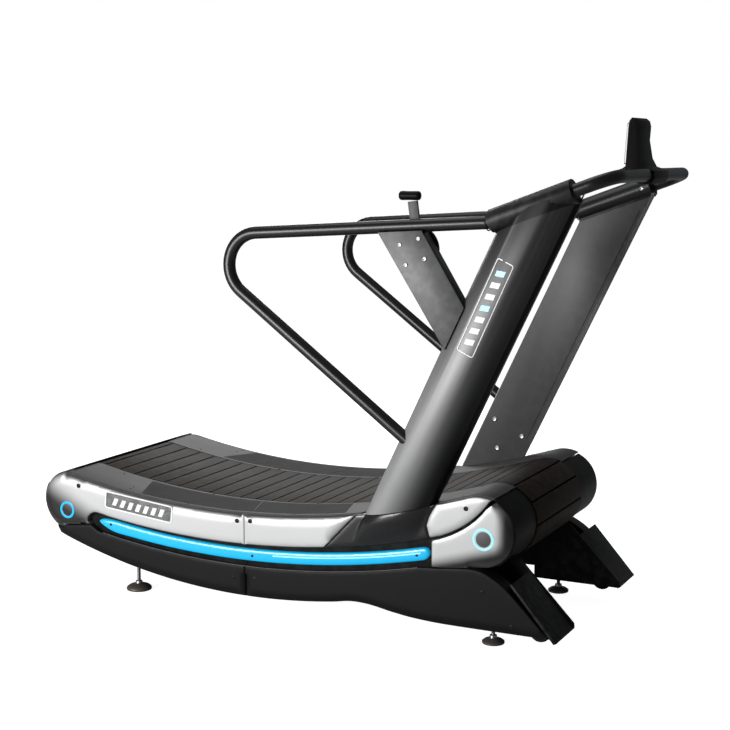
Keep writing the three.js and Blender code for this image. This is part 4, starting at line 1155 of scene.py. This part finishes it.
def cover(node_name, name, side, finish_used, slot, roll, lift=None, grid=9.0):
    """A crowned moulding on the outline of a cover's outer face, standing for the node."""
    outline = smoothed(face_outline(node_name))
    return piece(
        name, crowned(outline, FACE_Y, BACK_Y, roll, side, grid, lift, COVER_EDGE), finish_used,
        smooth=38, replaces=(node_name,), slot=slot
    )


def upper_edge(x, z):
    """How the edge rolls: hardly where two covers meet, most along the top."""
    if abs(x - COVER_JOINT_X) < 8:
        return 2, 0.3
    return (36, 11) if z > strip_z(x) + 55 else (12, 3)


def make_heel(label, side):
    """Rounds off the rear end where the silver and the lower cover meet."""
    outline = arc((REAR_X + 2, REAR_Z + 2), 104, 150, 272, 40)
    piece(
        f"rear_heel_{label}",
        crowned(outline, 396.4, 352.0, lambda x, z: (40, 15), side, 7.0, None, COVER_EDGE),
        SILVER_WITH_PAINTED_SHADE, smooth=38, slot="silver"
    )


def make_upper_covers(label, side):
    cover(
        f"rear_side_cover_{label}", f"rear_cover_{label}", side, SILVER_WITH_PAINTED_SHADE, "silver",
        lambda x, z: (40, 15) if near_rear_end(x, z) else upper_edge(x, z)
    )
    cover(
        f"mid_side_cover_{label}", f"middle_cover_{label}", side, SILVER_WITH_PAINTED_SHADE, "silver", upper_edge
    )
    cover(
        f"front_leaf_cover_{label}", f"leaf_cover_{label}", side, FRONT_SILVER_WITH_PAINTED_SHADE, "silver",
        lambda x, z: (20, 6)
    )

    def on_cap(x, z):
        return x > -30 and abs(hypot(x, z - FRONT_Z) - 105) < 6

    cover(
        f"front_end_cover_{label}", f"end_cover_{label}", side, FRONT_SILVER_WITH_PAINTED_SHADE, "silver",
        lambda x, z: (46, 17) if on_cap(x, z) else (12, 3.5)
    )
    cover(
        f"upright_shroud_{label}", f"foot_shroud_{label}", side, SHROUD, "charcoal",
        lambda x, z: (12, 3.0), shroud_lift, grid=7.0
    )


def make_lower_covers(label, side):
    def under(x, z):
        return z < step_z(x) - 25 if x < -190 else z < 92

    for part, name in (
        ("lower_rear_cover", "skirt_rear"), ("lower_front_cover", "skirt_front")
    ):
        node_name = f"{part}_{label}"
        cover(
            node_name, f"{name}_{label}", side, CHARCOAL, "charcoal",
            lambda x, z: (30, 12) if under(x, z) else (7, 2.0)
        )
        floor = face_outline(node_name, 380.0)
        piece(
            f"{name}_channel_{label}", slab(floor, side * 374, side * 380), BLACK_MOULDING,
            smooth=30
        )


def make_strip(label, side):
    node_name = f"light_strip_{label}"
    outline = smoothed(face_outline(node_name), 5.0, 50.0)
    piece(
        f"light_strip_{label}_lens",
        crowned(outline, 392.0, 380.4, lambda x, z: (11, 7), side, 6.0, None, (1.6, 1.2)), CYAN,
        replaces=(node_name,), slot="cyan"
    )
    closing = [(-1405, 205), (-1235, 192), (-1235, 268), (-1330, 290), (-1405, 300)]
    piece(
        f"light_strip_{label}_backing", slab(closing, side * 362, side * 376), BLACK_MOULDING,
        smooth=30
    )
    # A glowing pale cyan line along the lens: a painted highlight.
    path = [(x, side * 391.2, strip_z(x, 4.0)) for x in spread(-690, -185, 60)]
    piece(f"light_strip_{label}_glint", sweep(path, 2.6, 12), PALE_CYAN, slot="cyan")


def bead(name, path, radius, finish_used, slot=None):
    return piece(name, sweep(path, radius, 12), finish_used, slot=slot)


def make_step_highlights(label, side):
    # A light grey line along the top edge of the lower covers: a painted highlight on the step
    # edge.
    path = [(x, side * 395.2, step_z(x) + 0.2) for x in spread(-1330, -195, 70)]
    bead(f"skirt_step_highlight_{label}", path, 1.3, BRACKET_GREY)


UPPER_SCREWS = [(-1423, 357), (-814, 305), (-767, 309), (-41, 426)]
LOWER_SCREWS = [(-829, 121), (-753, 126), (12, 183), (105, 93)]
STRIP_SCREWS = [(-1300, 238), (-763, 197), (-199, 267)]


def make_cover_fixings(label, side):
    out = (0, side, 0)
    heads = [screw_head(x, side * 396.8, z, out, 7.4, 2.6) for x, z in UPPER_SCREWS]
    heads += [screw_head(x, side * 396.4, z, out, 6.4, 2.4) for x, z in LOWER_SCREWS]
    heads += [screw_head(x, side * 391.4, z, out, 4.4, 2.0) for x, z in STRIP_SCREWS]
    piece(f"cover_screws_{label}", merged(heads), DARK_STEEL)
    circles = [washer_ring(x, side * 396.6, z, out, 7.8, 9.4, 0.8) for x, z in UPPER_SCREWS]
    piece(f"cover_washers_{label}", merged(circles), BRIGHT_STEEL)
    piece(
        f"rear_ring_{label}", washer_ring(-1471, side * 396.6, 271, out, 20.8, 28.4, 1.8), CYAN,
        slot="cyan"
    )
    piece(
        f"front_ring_{label}", washer_ring(14, side * 396.4, 340, out, 26.5, 33, 1.8),
        PALE_CYAN, slot="cyan"
    )
    disc = softened([(0, 1.6), (22.5, 1.6), (24.5, -1.5), (0, -1.5)], 0.8)
    piece(
        f"front_ring_cap_{label}", lathe(disc, (14, side * 396.4, 340), out, 48), BRACKET_GREY
    )


# ---- badges without lettering ----


def rounded_rectangle(width, height, radius, inset=0.0):
    points = []
    w, h, r = width / 2 - inset, height / 2 - inset, max(0.3, radius - inset)
    for cx, cy, start in (
        (w - r, h - r, 0), (r - w, h - r, 90), (r - w, r - h, 180), (w - r, r - h, 270)
    ):
        for step in range(6):
            a = radians(start + 18 * step)
            points.append((cx + r * cos(a), cy + r * sin(a)))
    return points


SUNK = -0.6


def laid_on(points, raise_by, place):
    """A closed sheet over a loop of points (s, t), standing raise_by above the surface."""
    top = [place(s, t, raise_by) for s, t in points]
    low = [place(s, t, SUNK) for s, t in points]
    return rings([low, top])


def frame_on(width, height, radius, line, place, raise_by=0.7):
    outer = rounded_rectangle(width, height, radius)
    inner = rounded_rectangle(width, height, radius, line)
    loops = []
    for (a, b), (c, d) in zip(outer, inner):
        loops.append(
            [place(a, b, SUNK), place(a, b, raise_by), place(c, d, raise_by), place(c, d, SUNK)]
        )
    return rings(loops, closed_path=True)


def slanted_bars(count, pitch, width, height, slant, place, raise_by, skip=()):
    bars = []
    for i in range(count):
        if i in skip:
            continue
        s = (i - (count - 1) / 2) * pitch
        steps = spread(-height / 2, height / 2, 4)
        left = [(s - width / 2 + slant * t, t) for t in steps]
        right = [(s + width / 2 + slant * t, t) for t in steps[::-1]]
        bars.append(laid_on(left + right, raise_by, place))
    return bars


def make_rear_badge(label, side):
    corner, far, low = Vector((-1304, 345)), Vector((-1048, 319)), Vector((-1326, 293))
    centre = (far + low) / 2
    along = (far - corner).normalized()
    across = Vector((-along.y, along.x))

    def place(s, t, raised):
        p = centre + along * s + across * t
        p += across * (s / 128) ** 2 * 5.0
        return (p.x, side * (396.9 + raised), p.y)

    piece(
        f"rear_badge_plate_{label}", laid_on(rounded_rectangle(256, 52, 9), 0.5, place),
        PLATE_GREY
    )
    parts = [frame_on(262, 57, 10, 4.2, place, 1.1)]
    parts += slanted_bars(7, 30, 15, 25, 0.35, place, 1.0)
    piece(f"rear_badge_marks_{label}", merged(parts), WHITE_INK)


def make_upright_badge(label, side):
    low = (Vector((-13, 872)) + Vector((-59, 894))) / 2
    high = (Vector((61, 1159)) + Vector((111, 1137))) / 2
    centre = (low + high) / 2
    along = (high - low).normalized()
    across = Vector((along.y, -along.x))

    def place(s, t, raised):
        p = centre + along * s + across * t
        u = (p.x - upright_rear(p.y)) / UPRIGHT_DEPTH
        return (p.x, side * (shell_y(u) + 0.3 + raised), p.y)

    parts = [frame_on((high - low).length, 55, 7, 2.6, place)]
    parts += slanted_bars(7, 36, 17, 26, 0.3, place, 0.7, (3, 6))
    piece(f"upright_badge_marks_{label}", merged(parts), WHITE_INK)
    piece(
        f"upright_badge_accents_{label}",
        merged(slanted_bars(7, 36, 17, 26, 0.3, place, 0.7, (0, 1, 2, 4, 5))), CYAN, slot="cyan"
    )


# ---- uprights, rails and bar ----


def upright_line(ahead, low, high, y, count=2):
    """Points up the upright, a level distance ahead of its rear edge."""
    return [(upright_rear(z) + ahead, y, z) for z in spread(low, high, count)]


def make_upright(label, side):
    shell = dressed(
        f"upright_shell_{label}", SHELL_WITH_PAINTED_SHADE, 1.0, 2, "upright", f"upright_fairing_{label}"
    )
    # The front edge of the fairing is painted black: painted shade on its front face.
    repaint(shell, BLACK_MOULDING, lambda x, y, z: x > upright_rear(z) + 196 and z > 480)
    dressed(f"upright_post_{label}", POST, 0.9, 2, "post", f"upright_inner_{label}")
    low, high = on_sleeve(2), on_sleeve(SLEEVE_END)
    path = [(low[0], side * 386, low[1]), (high[0], side * 386, high[1])]
    piece(f"sleeve_cheek_{label}", sweep(path, 36, 40), TUBE_BLACK)
    inner = side * 359.6
    piece(
        f"upright_groove_{label}", sweep(upright_line(183, 490, 1268, side * 359.9), 0.9, 8),
        DARK_STEEL
    )
    # A black strip along the front edge, between the inner plate and the fairing: painted shade
    # standing for the fairing's shaded front face.
    edge = []
    for z in spread(478, 1322, 40):
        x = upright_rear(z) + UPRIGHT_DEPTH
        edge.append(
            [
                (x - 9, side * 359.2, z), (x - 9, side * 373, z), (x + 1.6, side * 373, z),
                (x + 2.2, side * 366, z), (x + 1.6, side * 359.4, z)
            ]
        )
    piece(f"upright_edge_trim_{label}", rings(edge), TUBE_BLACK, smooth=25)
    heads = [
        screw_head(x, inner, z, (0, -side, 0), 8.0, 5.0)
        for x, z in ((-247, 554), (-149, 502), (-237, 455))
    ]
    screw_x, screw_z = on_sleeve(232)
    heads.append(screw_head(screw_x, side * 350.6, screw_z, (0, -side, 0), 6.5, 4.0))
    piece(f"upright_bolts_{label}", merged(heads), BRIGHT_STEEL)


def weld_bead(name, place, axis, radius):
    """A rippled ring where two tubes meet."""
    axis = Vector(axis).normalized()
    u, v = square_to(axis, Vector((0, 1, 0)))
    base = Vector(place)
    path = []
    for i in range(96):
        t = 2 * pi * i / 96
        wobble = 0.35 * sin(t * 24)
        path.append(base + (u * cos(t) + v * sin(t)) * (radius + wobble))
    loops = []
    for i, p in enumerate(path):
        outward = (p - base).normalized()
        turns = [2 * pi * j / 8 for j in range(8)]
        loops.append([tuple(p + (outward * cos(a) + axis * sin(a)) * 1.7) for a in turns])
    piece(name, rings(loops, closed_path=True), TUBE_BLACK, smooth=60)


def make_rails():
    for label, side in SIDES:
        start, turn = on_sleeve(45), on_sleeve(-6)
        corners = [
            (start[0], side * RAIL_Y, start[1]), (turn[0], side * RAIL_Y, turn[1]),
            (HANDRAIL_REAR[0], side * RAIL_Y, HANDRAIL_REAR[1]), (-210.5, side * RAIL_Y, 600)
        ]
        path = bend_path(corners, [60, 100], 18)
        piece(
            f"side_handrail_{label}", sweep(path, RAIL_RADIUS, 36), TUBE_BLACK,
            replaces=(f"handrail_{label}",), slot="black"
        )
        slope = Vector((cos(SLEEVE_TILT), 0, sin(SLEEVE_TILT)))
        weld_bead(
            f"sleeve_weld_{label}", (turn[0] - 3, side * RAIL_Y, turn[1] - 3), (1, 0, 0.2), 20.0
        )
        end = on_sleeve(SLEEVE_END)
        weld_bead(f"sleeve_lip_{label}", (end[0], side * RAIL_Y, end[1]), slope, 20.2)
    start, corner = on_sleeve(167), on_sleeve(BAR_REACH)
    corners = [
        (start[0], RAIL_Y, start[1]), (corner[0], RAIL_Y, corner[1]),
        (corner[0], -RAIL_Y, corner[1]), (start[0], -RAIL_Y, start[1])
    ]
    piece(
        "front_handlebar", sweep(bend_path(corners, [72, 72], 20), RAIL_RADIUS, 36), TUBE_BLACK,
        replaces=("handlebar",), slot="black"
    )


# ---- console ----


def slimmed(obj):
    """Narrows the console case towards its top."""
    bar = on_sleeve(BAR_REACH)
    for vertex in obj.data.vertices:
        x, z = vertex.co.x / MM - ORIGIN_X, vertex.co.z / MM
        t = blend_step((z - bar[1] - 18) / 70)
        back = min(1.0, max(0.0, (x - bar[0] + 62) / 58))
        vertex.co.x -= (8 + 15 * back) * t * MM
        vertex.co.y *= 1 - 0.22 * t
    return obj


def make_console():
    slimmed(dressed("console_housing", BLACK_MOULDING, 2.6, 3, "console", "console_case", 34))
    slimmed(dressed("console_screen", GLASS, 0.8, 2, "screen", "console_window"))
    bar = on_sleeve(BAR_REACH)

    def on_face(s, t, raised):
        """s runs across, t up the sloping window."""
        lean = Vector((12.0, 112.0)).normalized()
        out = Vector((-lean.y, lean.x))
        p = Vector((bar[0] - 56, bar[1] + 90)) + lean * t + out * (6.0 + raised)
        return (p.x, s, p.y)

    slimmed(piece("console_trim", frame_on(136, 120, 8, 3.0, on_face, 1.2), WHITE_INK))
    marks = []
    for row in range(3):
        width, height = (104, 20) if row == 0 else (46, 15)
        spots = [0] if row == 0 else [-28, 28]
        for s0 in spots:

            def place(s, t, raised, s0=s0, row=row):
                return on_face(s + s0, t + 26 - row * 27, raised - 4.6)

            marks.append(frame_on(width, height, 2.5, 0.9, place, 0.5))
    slimmed(piece("console_window_fields", merged(marks), BRACKET_GREY))
    dressed("start_button", STEEL, 0.8, 3, "silver", "start_key_cap")
    dressed("stop_button", STEEL, 0.8, 3, "silver", "stop_key_cap")


# ---- resistance lever ----

LEVER = (-215.0, 1170.0)
LEVER_LEAN = radians(8)


def make_lever():
    bracket = dressed("lever_bracket", BRACKET_GREY, 1.2, 2, "bracket", "lever_strut")
    # The strut is painted black inward of its outer plate: painted shade on its shadowed inner
    # and front faces.
    repaint(bracket, TUBE_BLACK, lambda x, y, z: y < 421.2)
    for vertex in bracket.data.vertices:
        x, z = vertex.co.x / MM - ORIGIN_X, vertex.co.z / MM
        if x > upright_rear(z) - 9:
            vertex.co += Vector((13, 0, -25)) * MM
    heads = [
        screw_head(x, -421.6, z, (0, -1, 0), 6.6, 4.2)
        for x, z in ((-243, 1186), (-185, 1205), (-224, 1129), (-165, 1148))
    ]
    piece("lever_strut_bolts", merged(heads), BRIGHT_STEEL)
    dressed("lever_housing", BLACK_MOULDING, 3.0, 3, "knob", "lever_hub_case", 34)
    dressed("resistance_lever", BRACKET_GREY, 1.4, 2, "bracket", "lever_arm")
    up = Vector((-sin(LEVER_LEAN), cos(LEVER_LEAN)))
    top = Vector(LEVER) + up * 140
    rise = sin(LEVER_LEAN) * 15
    place = (top.x - 9, -352, top.y + rise + 13.8)
    half = 33
    profile = [
        (0, -half), (6, -half), (10.5, -half + 1.2), (12.8, -half + 4), (13.5, -half + 9)
    ]
    profile += [(13.1, -8), (13.1, 8), (13.5, half - 9), (12.8, half - 4), (10.5, half - 1.2)]
    profile += [(6, half), (0, half)]
    piece(
        "lever_grip", lathe(profile, place, (1, 0, 0), 48), BLACK_MOULDING, body="lever",
        smooth=34, replaces=("lever_knob",), slot="knob"
    )


# ---- frame, feet and wheels ----


def hexagon(place, radius, low, high):
    x, y, _ = place
    loops = []
    for z, r in (
        (low, radius - 0.8), (low + 0.8, radius), (high - 0.8, radius), (high, radius - 0.8)
    ):
        turns = [pi / 3 * i for i in range(6)]
        loops.append([(x + r * cos(t), y + r * sin(t), z) for t in turns])
    return rings(loops)


def make_foot(node_name, name, body, x, y, radius, dome, top):
    profile = [(0, 0), (radius - 4, 0), (radius - 1, 1.2), (radius, 4), (radius, 7.5)]
    profile += [
        (radius * 0.93, dome * 0.52), (radius * 0.78, dome * 0.72), (radius * 0.5, dome * 0.92)
    ]
    profile += [(13, dome), (11.5, dome + 3), (11, dome + 8), (6, dome + 8.6)]
    z = dome + 8.6
    while z < top - 2.5:
        profile += [(5.4, z + 0.5), (6.0, z + 1.2)]
        z += 1.9
    profile += [(5.4, top - 0.4), (0, top)]
    obj = piece(
        name, lathe(profile, (x, y, 0), (0, 0, 1), 48), [FOOT_GREY, STEEL], body=body,
        replaces=(node_name,), slot="steel"
    )
    second_finish(obj, lambda polygon: polygon.center.z / MM > dome - 0.5)


def make_wheel(label, side):
    tread = [(25, -13)]
    tread += [
        (29, -13), (32, -11), (33, -8.2), (33, -6), (31.4, -5.6), (31.4, -4.6), (33, -4.2)
    ]
    tread += [
        (33, -0.8), (31.4, -0.5), (31.4, 0.5), (33, 0.8), (33, 4.2), (31.4, 4.6), (31.4, 5.6)
    ]
    tread += [(33, 6), (33, 8.2), (32, 11), (29, 13), (25, 13), (25, -13)]
    hub = softened(
        [
            (6.4, -11), (11, -13), (12, -9), (24, -8), (25, -11), (25, 11), (24, 8), (12, 9),
            (11, 13), (6.4, 11), (6.4, -11)
        ],
        0.6
    )
    place = (160, side * 300, 61)
    tyre = lathe(tread, place, (0, 1, 0), 56)
    obj = piece(
        f"tip_wheel_{label}", merged([tyre, lathe(hub, place, (0, 1, 0), 56)]),
        [RUBBER, CHARCOAL], body=f"{label}_wheel", smooth=38,
        replaces=(f"transport_wheel_{label}",), slot="rubber"
    )
    second_finish(obj, lambda polygon: min(polygon.vertices) >= len(tyre[0]))


FOOT_Y = 297
FEET = {"front": (10, 34, 18, 88, 47.5, 57.5), "rear": (-1259, 42, 22, 195, 132, 141.6)}


def make_frame(label, side):
    dressed(f"frame_rail_{label}", FRAME_PAINT, 1.0, 2, "frame", f"frame_side_{label}")
    for x, z in ((14, 185), (-39, 98), (105, 95)):
        piece(
            f"leg_bolt_{label}_{abs(x)}", screw_head(x, side * 229.8, z, (0, -side, 0), 6, 3.2),
            DARK_STEEL
        )
    nuts = []
    for end, (x, radius, dome, top, nut_low, nut_high) in FEET.items():
        make_foot(
            f"{end}_leveling_foot_{label}", f"{end}_foot_{label}", f"{end}_{label}_foot", x,
            side * FOOT_Y, radius, dome, top
        )
        nuts.append(hexagon((x, side * FOOT_Y, 0), 13, nut_low, nut_high))
    piece(f"foot_nuts_{label}", merged(nuts), STEEL, smooth=30)
    make_wheel(label, side)


def make_inner_works():
    """The pieces hidden inside keep their own shapes and only get a finish."""
    steel = ["front_pulley_shaft", "rear_pulley_shaft", "brake_flywheel", "magnet_yoke"]
    for label, _ in SIDES:
        steel += [
            f"{part}_{label}" for part in ("guide_roller_rail", "front_bearing", "rear_bearing")
        ]
    painted = ["front_cross_member", "rear_cross_member"]
    for name in steel + painted:
        obj = frame["nodes"][name]
        obj.data.materials.clear()
        obj.data.materials.append(STEEL if name in steel else FRAME_PAINT)


# ---- build ----

make_belt()
make_bands()
for label, side in SIDES:
    make_fender(label, side)
    make_pads(label, side)
    make_upper_covers(label, side)
    make_heel(label, side)
    make_lower_covers(label, side)
    make_strip(label, side)
    make_step_highlights(label, side)
    make_cover_fixings(label, side)
    make_rear_badge(label, side)
    make_upright_badge(label, side)
    make_upright(label, side)
    make_frame(label, side)
make_rails()
make_console()
make_lever()
make_inner_works()

# ---- floor, light and camera ----


def make_floor():
    mesh = bpy.data.meshes.new("studio_floor")
    bm = bmesh.new()
    bmesh.ops.create_grid(bm, x_segments=2, y_segments=2, size=30)
    bm.to_mesh(mesh)
    bm.free()
    floor = bpy.data.objects.new("studio_floor", mesh)
    floor.location = (0, 0, -0.0005)
    show(floor)
    material = bpy.data.materials.new("pale studio floor")
    material.use_nodes = True
    tree = material.node_tree
    surface = tree.nodes["Principled BSDF"]
    tint = ranged(tree, noise(tree, own_place(tree), 0.6, 3.0), 0.3, 0.7)
    tree.links.new(mixed(tree, tint, grey(0.7), grey(0.74)), surface.inputs["Base Color"])
    surface.inputs["Roughness"].default_value = 0.9
    surface.inputs["Specular IOR Level"].default_value = 0.1
    seen = node(tree, "LightPath").outputs["Is Camera Ray"]
    lift = times(tree, seen, 0.94)
    surface.inputs["Emission Color"].default_value = (1, 1, 1, 1)
    tree.links.new(lift, surface.inputs["Emission Strength"])
    mesh.materials.append(material)


def softbox(name, place, aim, width, height, power, glint=1.0):
    data = bpy.data.lights.new(name, "AREA")
    data.specular_factor = glint
    data.shape = "RECTANGLE"
    data.size, data.size_y, data.energy = width, height, power
    lamp = bpy.data.objects.new(name, data)
    lamp.location = place
    lamp.rotation_euler = (Vector(aim) - Vector(place)).to_track_quat("-Z", "Y").to_euler()
    show(lamp)


def make_world():
    world = bpy.data.worlds.new("studio")
    world.use_nodes = True
    tree = world.node_tree
    tree.nodes.clear()
    seen = node(tree, "LightPath").outputs["Is Camera Ray"]
    bright = node(tree, "Background", {"Color": (1, 1, 1, 1), "Strength": 1.0})
    dim = node(tree, "Background", {"Color": (0.93, 0.96, 1, 1), "Strength": 0.16})
    both = node(tree, "MixShader", {0: seen, 1: dim.outputs[0], 2: bright.outputs[0]})
    out = tree.nodes.new("ShaderNodeOutputWorld")
    tree.links.new(both.outputs[0], out.inputs[0])
    bpy.context.scene.world = world


LENS = 73.77
CAMERA_PLACE = (2.1480, -4.3250, 1.4448)
CAMERA_PITCH = 8.04
CAMERA_YAW = 26.19


def make_camera():
    data = bpy.data.cameras.new("camera")
    data.lens = LENS
    data.sensor_width = 36.0
    data.clip_end = 200
    camera = bpy.data.objects.new("camera", data)
    camera.location = CAMERA_PLACE
    camera.rotation_euler = (radians(90 - CAMERA_PITCH), 0, radians(CAMERA_YAW))
    show(camera)
    bpy.context.scene.camera = camera


make_floor()
make_world()
softbox("key_panel", (-2.1, -4.6, 1.1), (-0.1, 0, 0.45), 2.4, 1.6, 250)
softbox("top_panel", (-0.6, 0.2, 3.8), (-0.2, 0, 0.4), 2.6, 2.0, 30, 0.4)
softbox("rim_panel", (-2.2, 3.4, 2.2), (0, 0, 0.7), 2.0, 1.4, 45)
make_camera()
bpy.context.scene.view_settings.view_transform = "Standard"
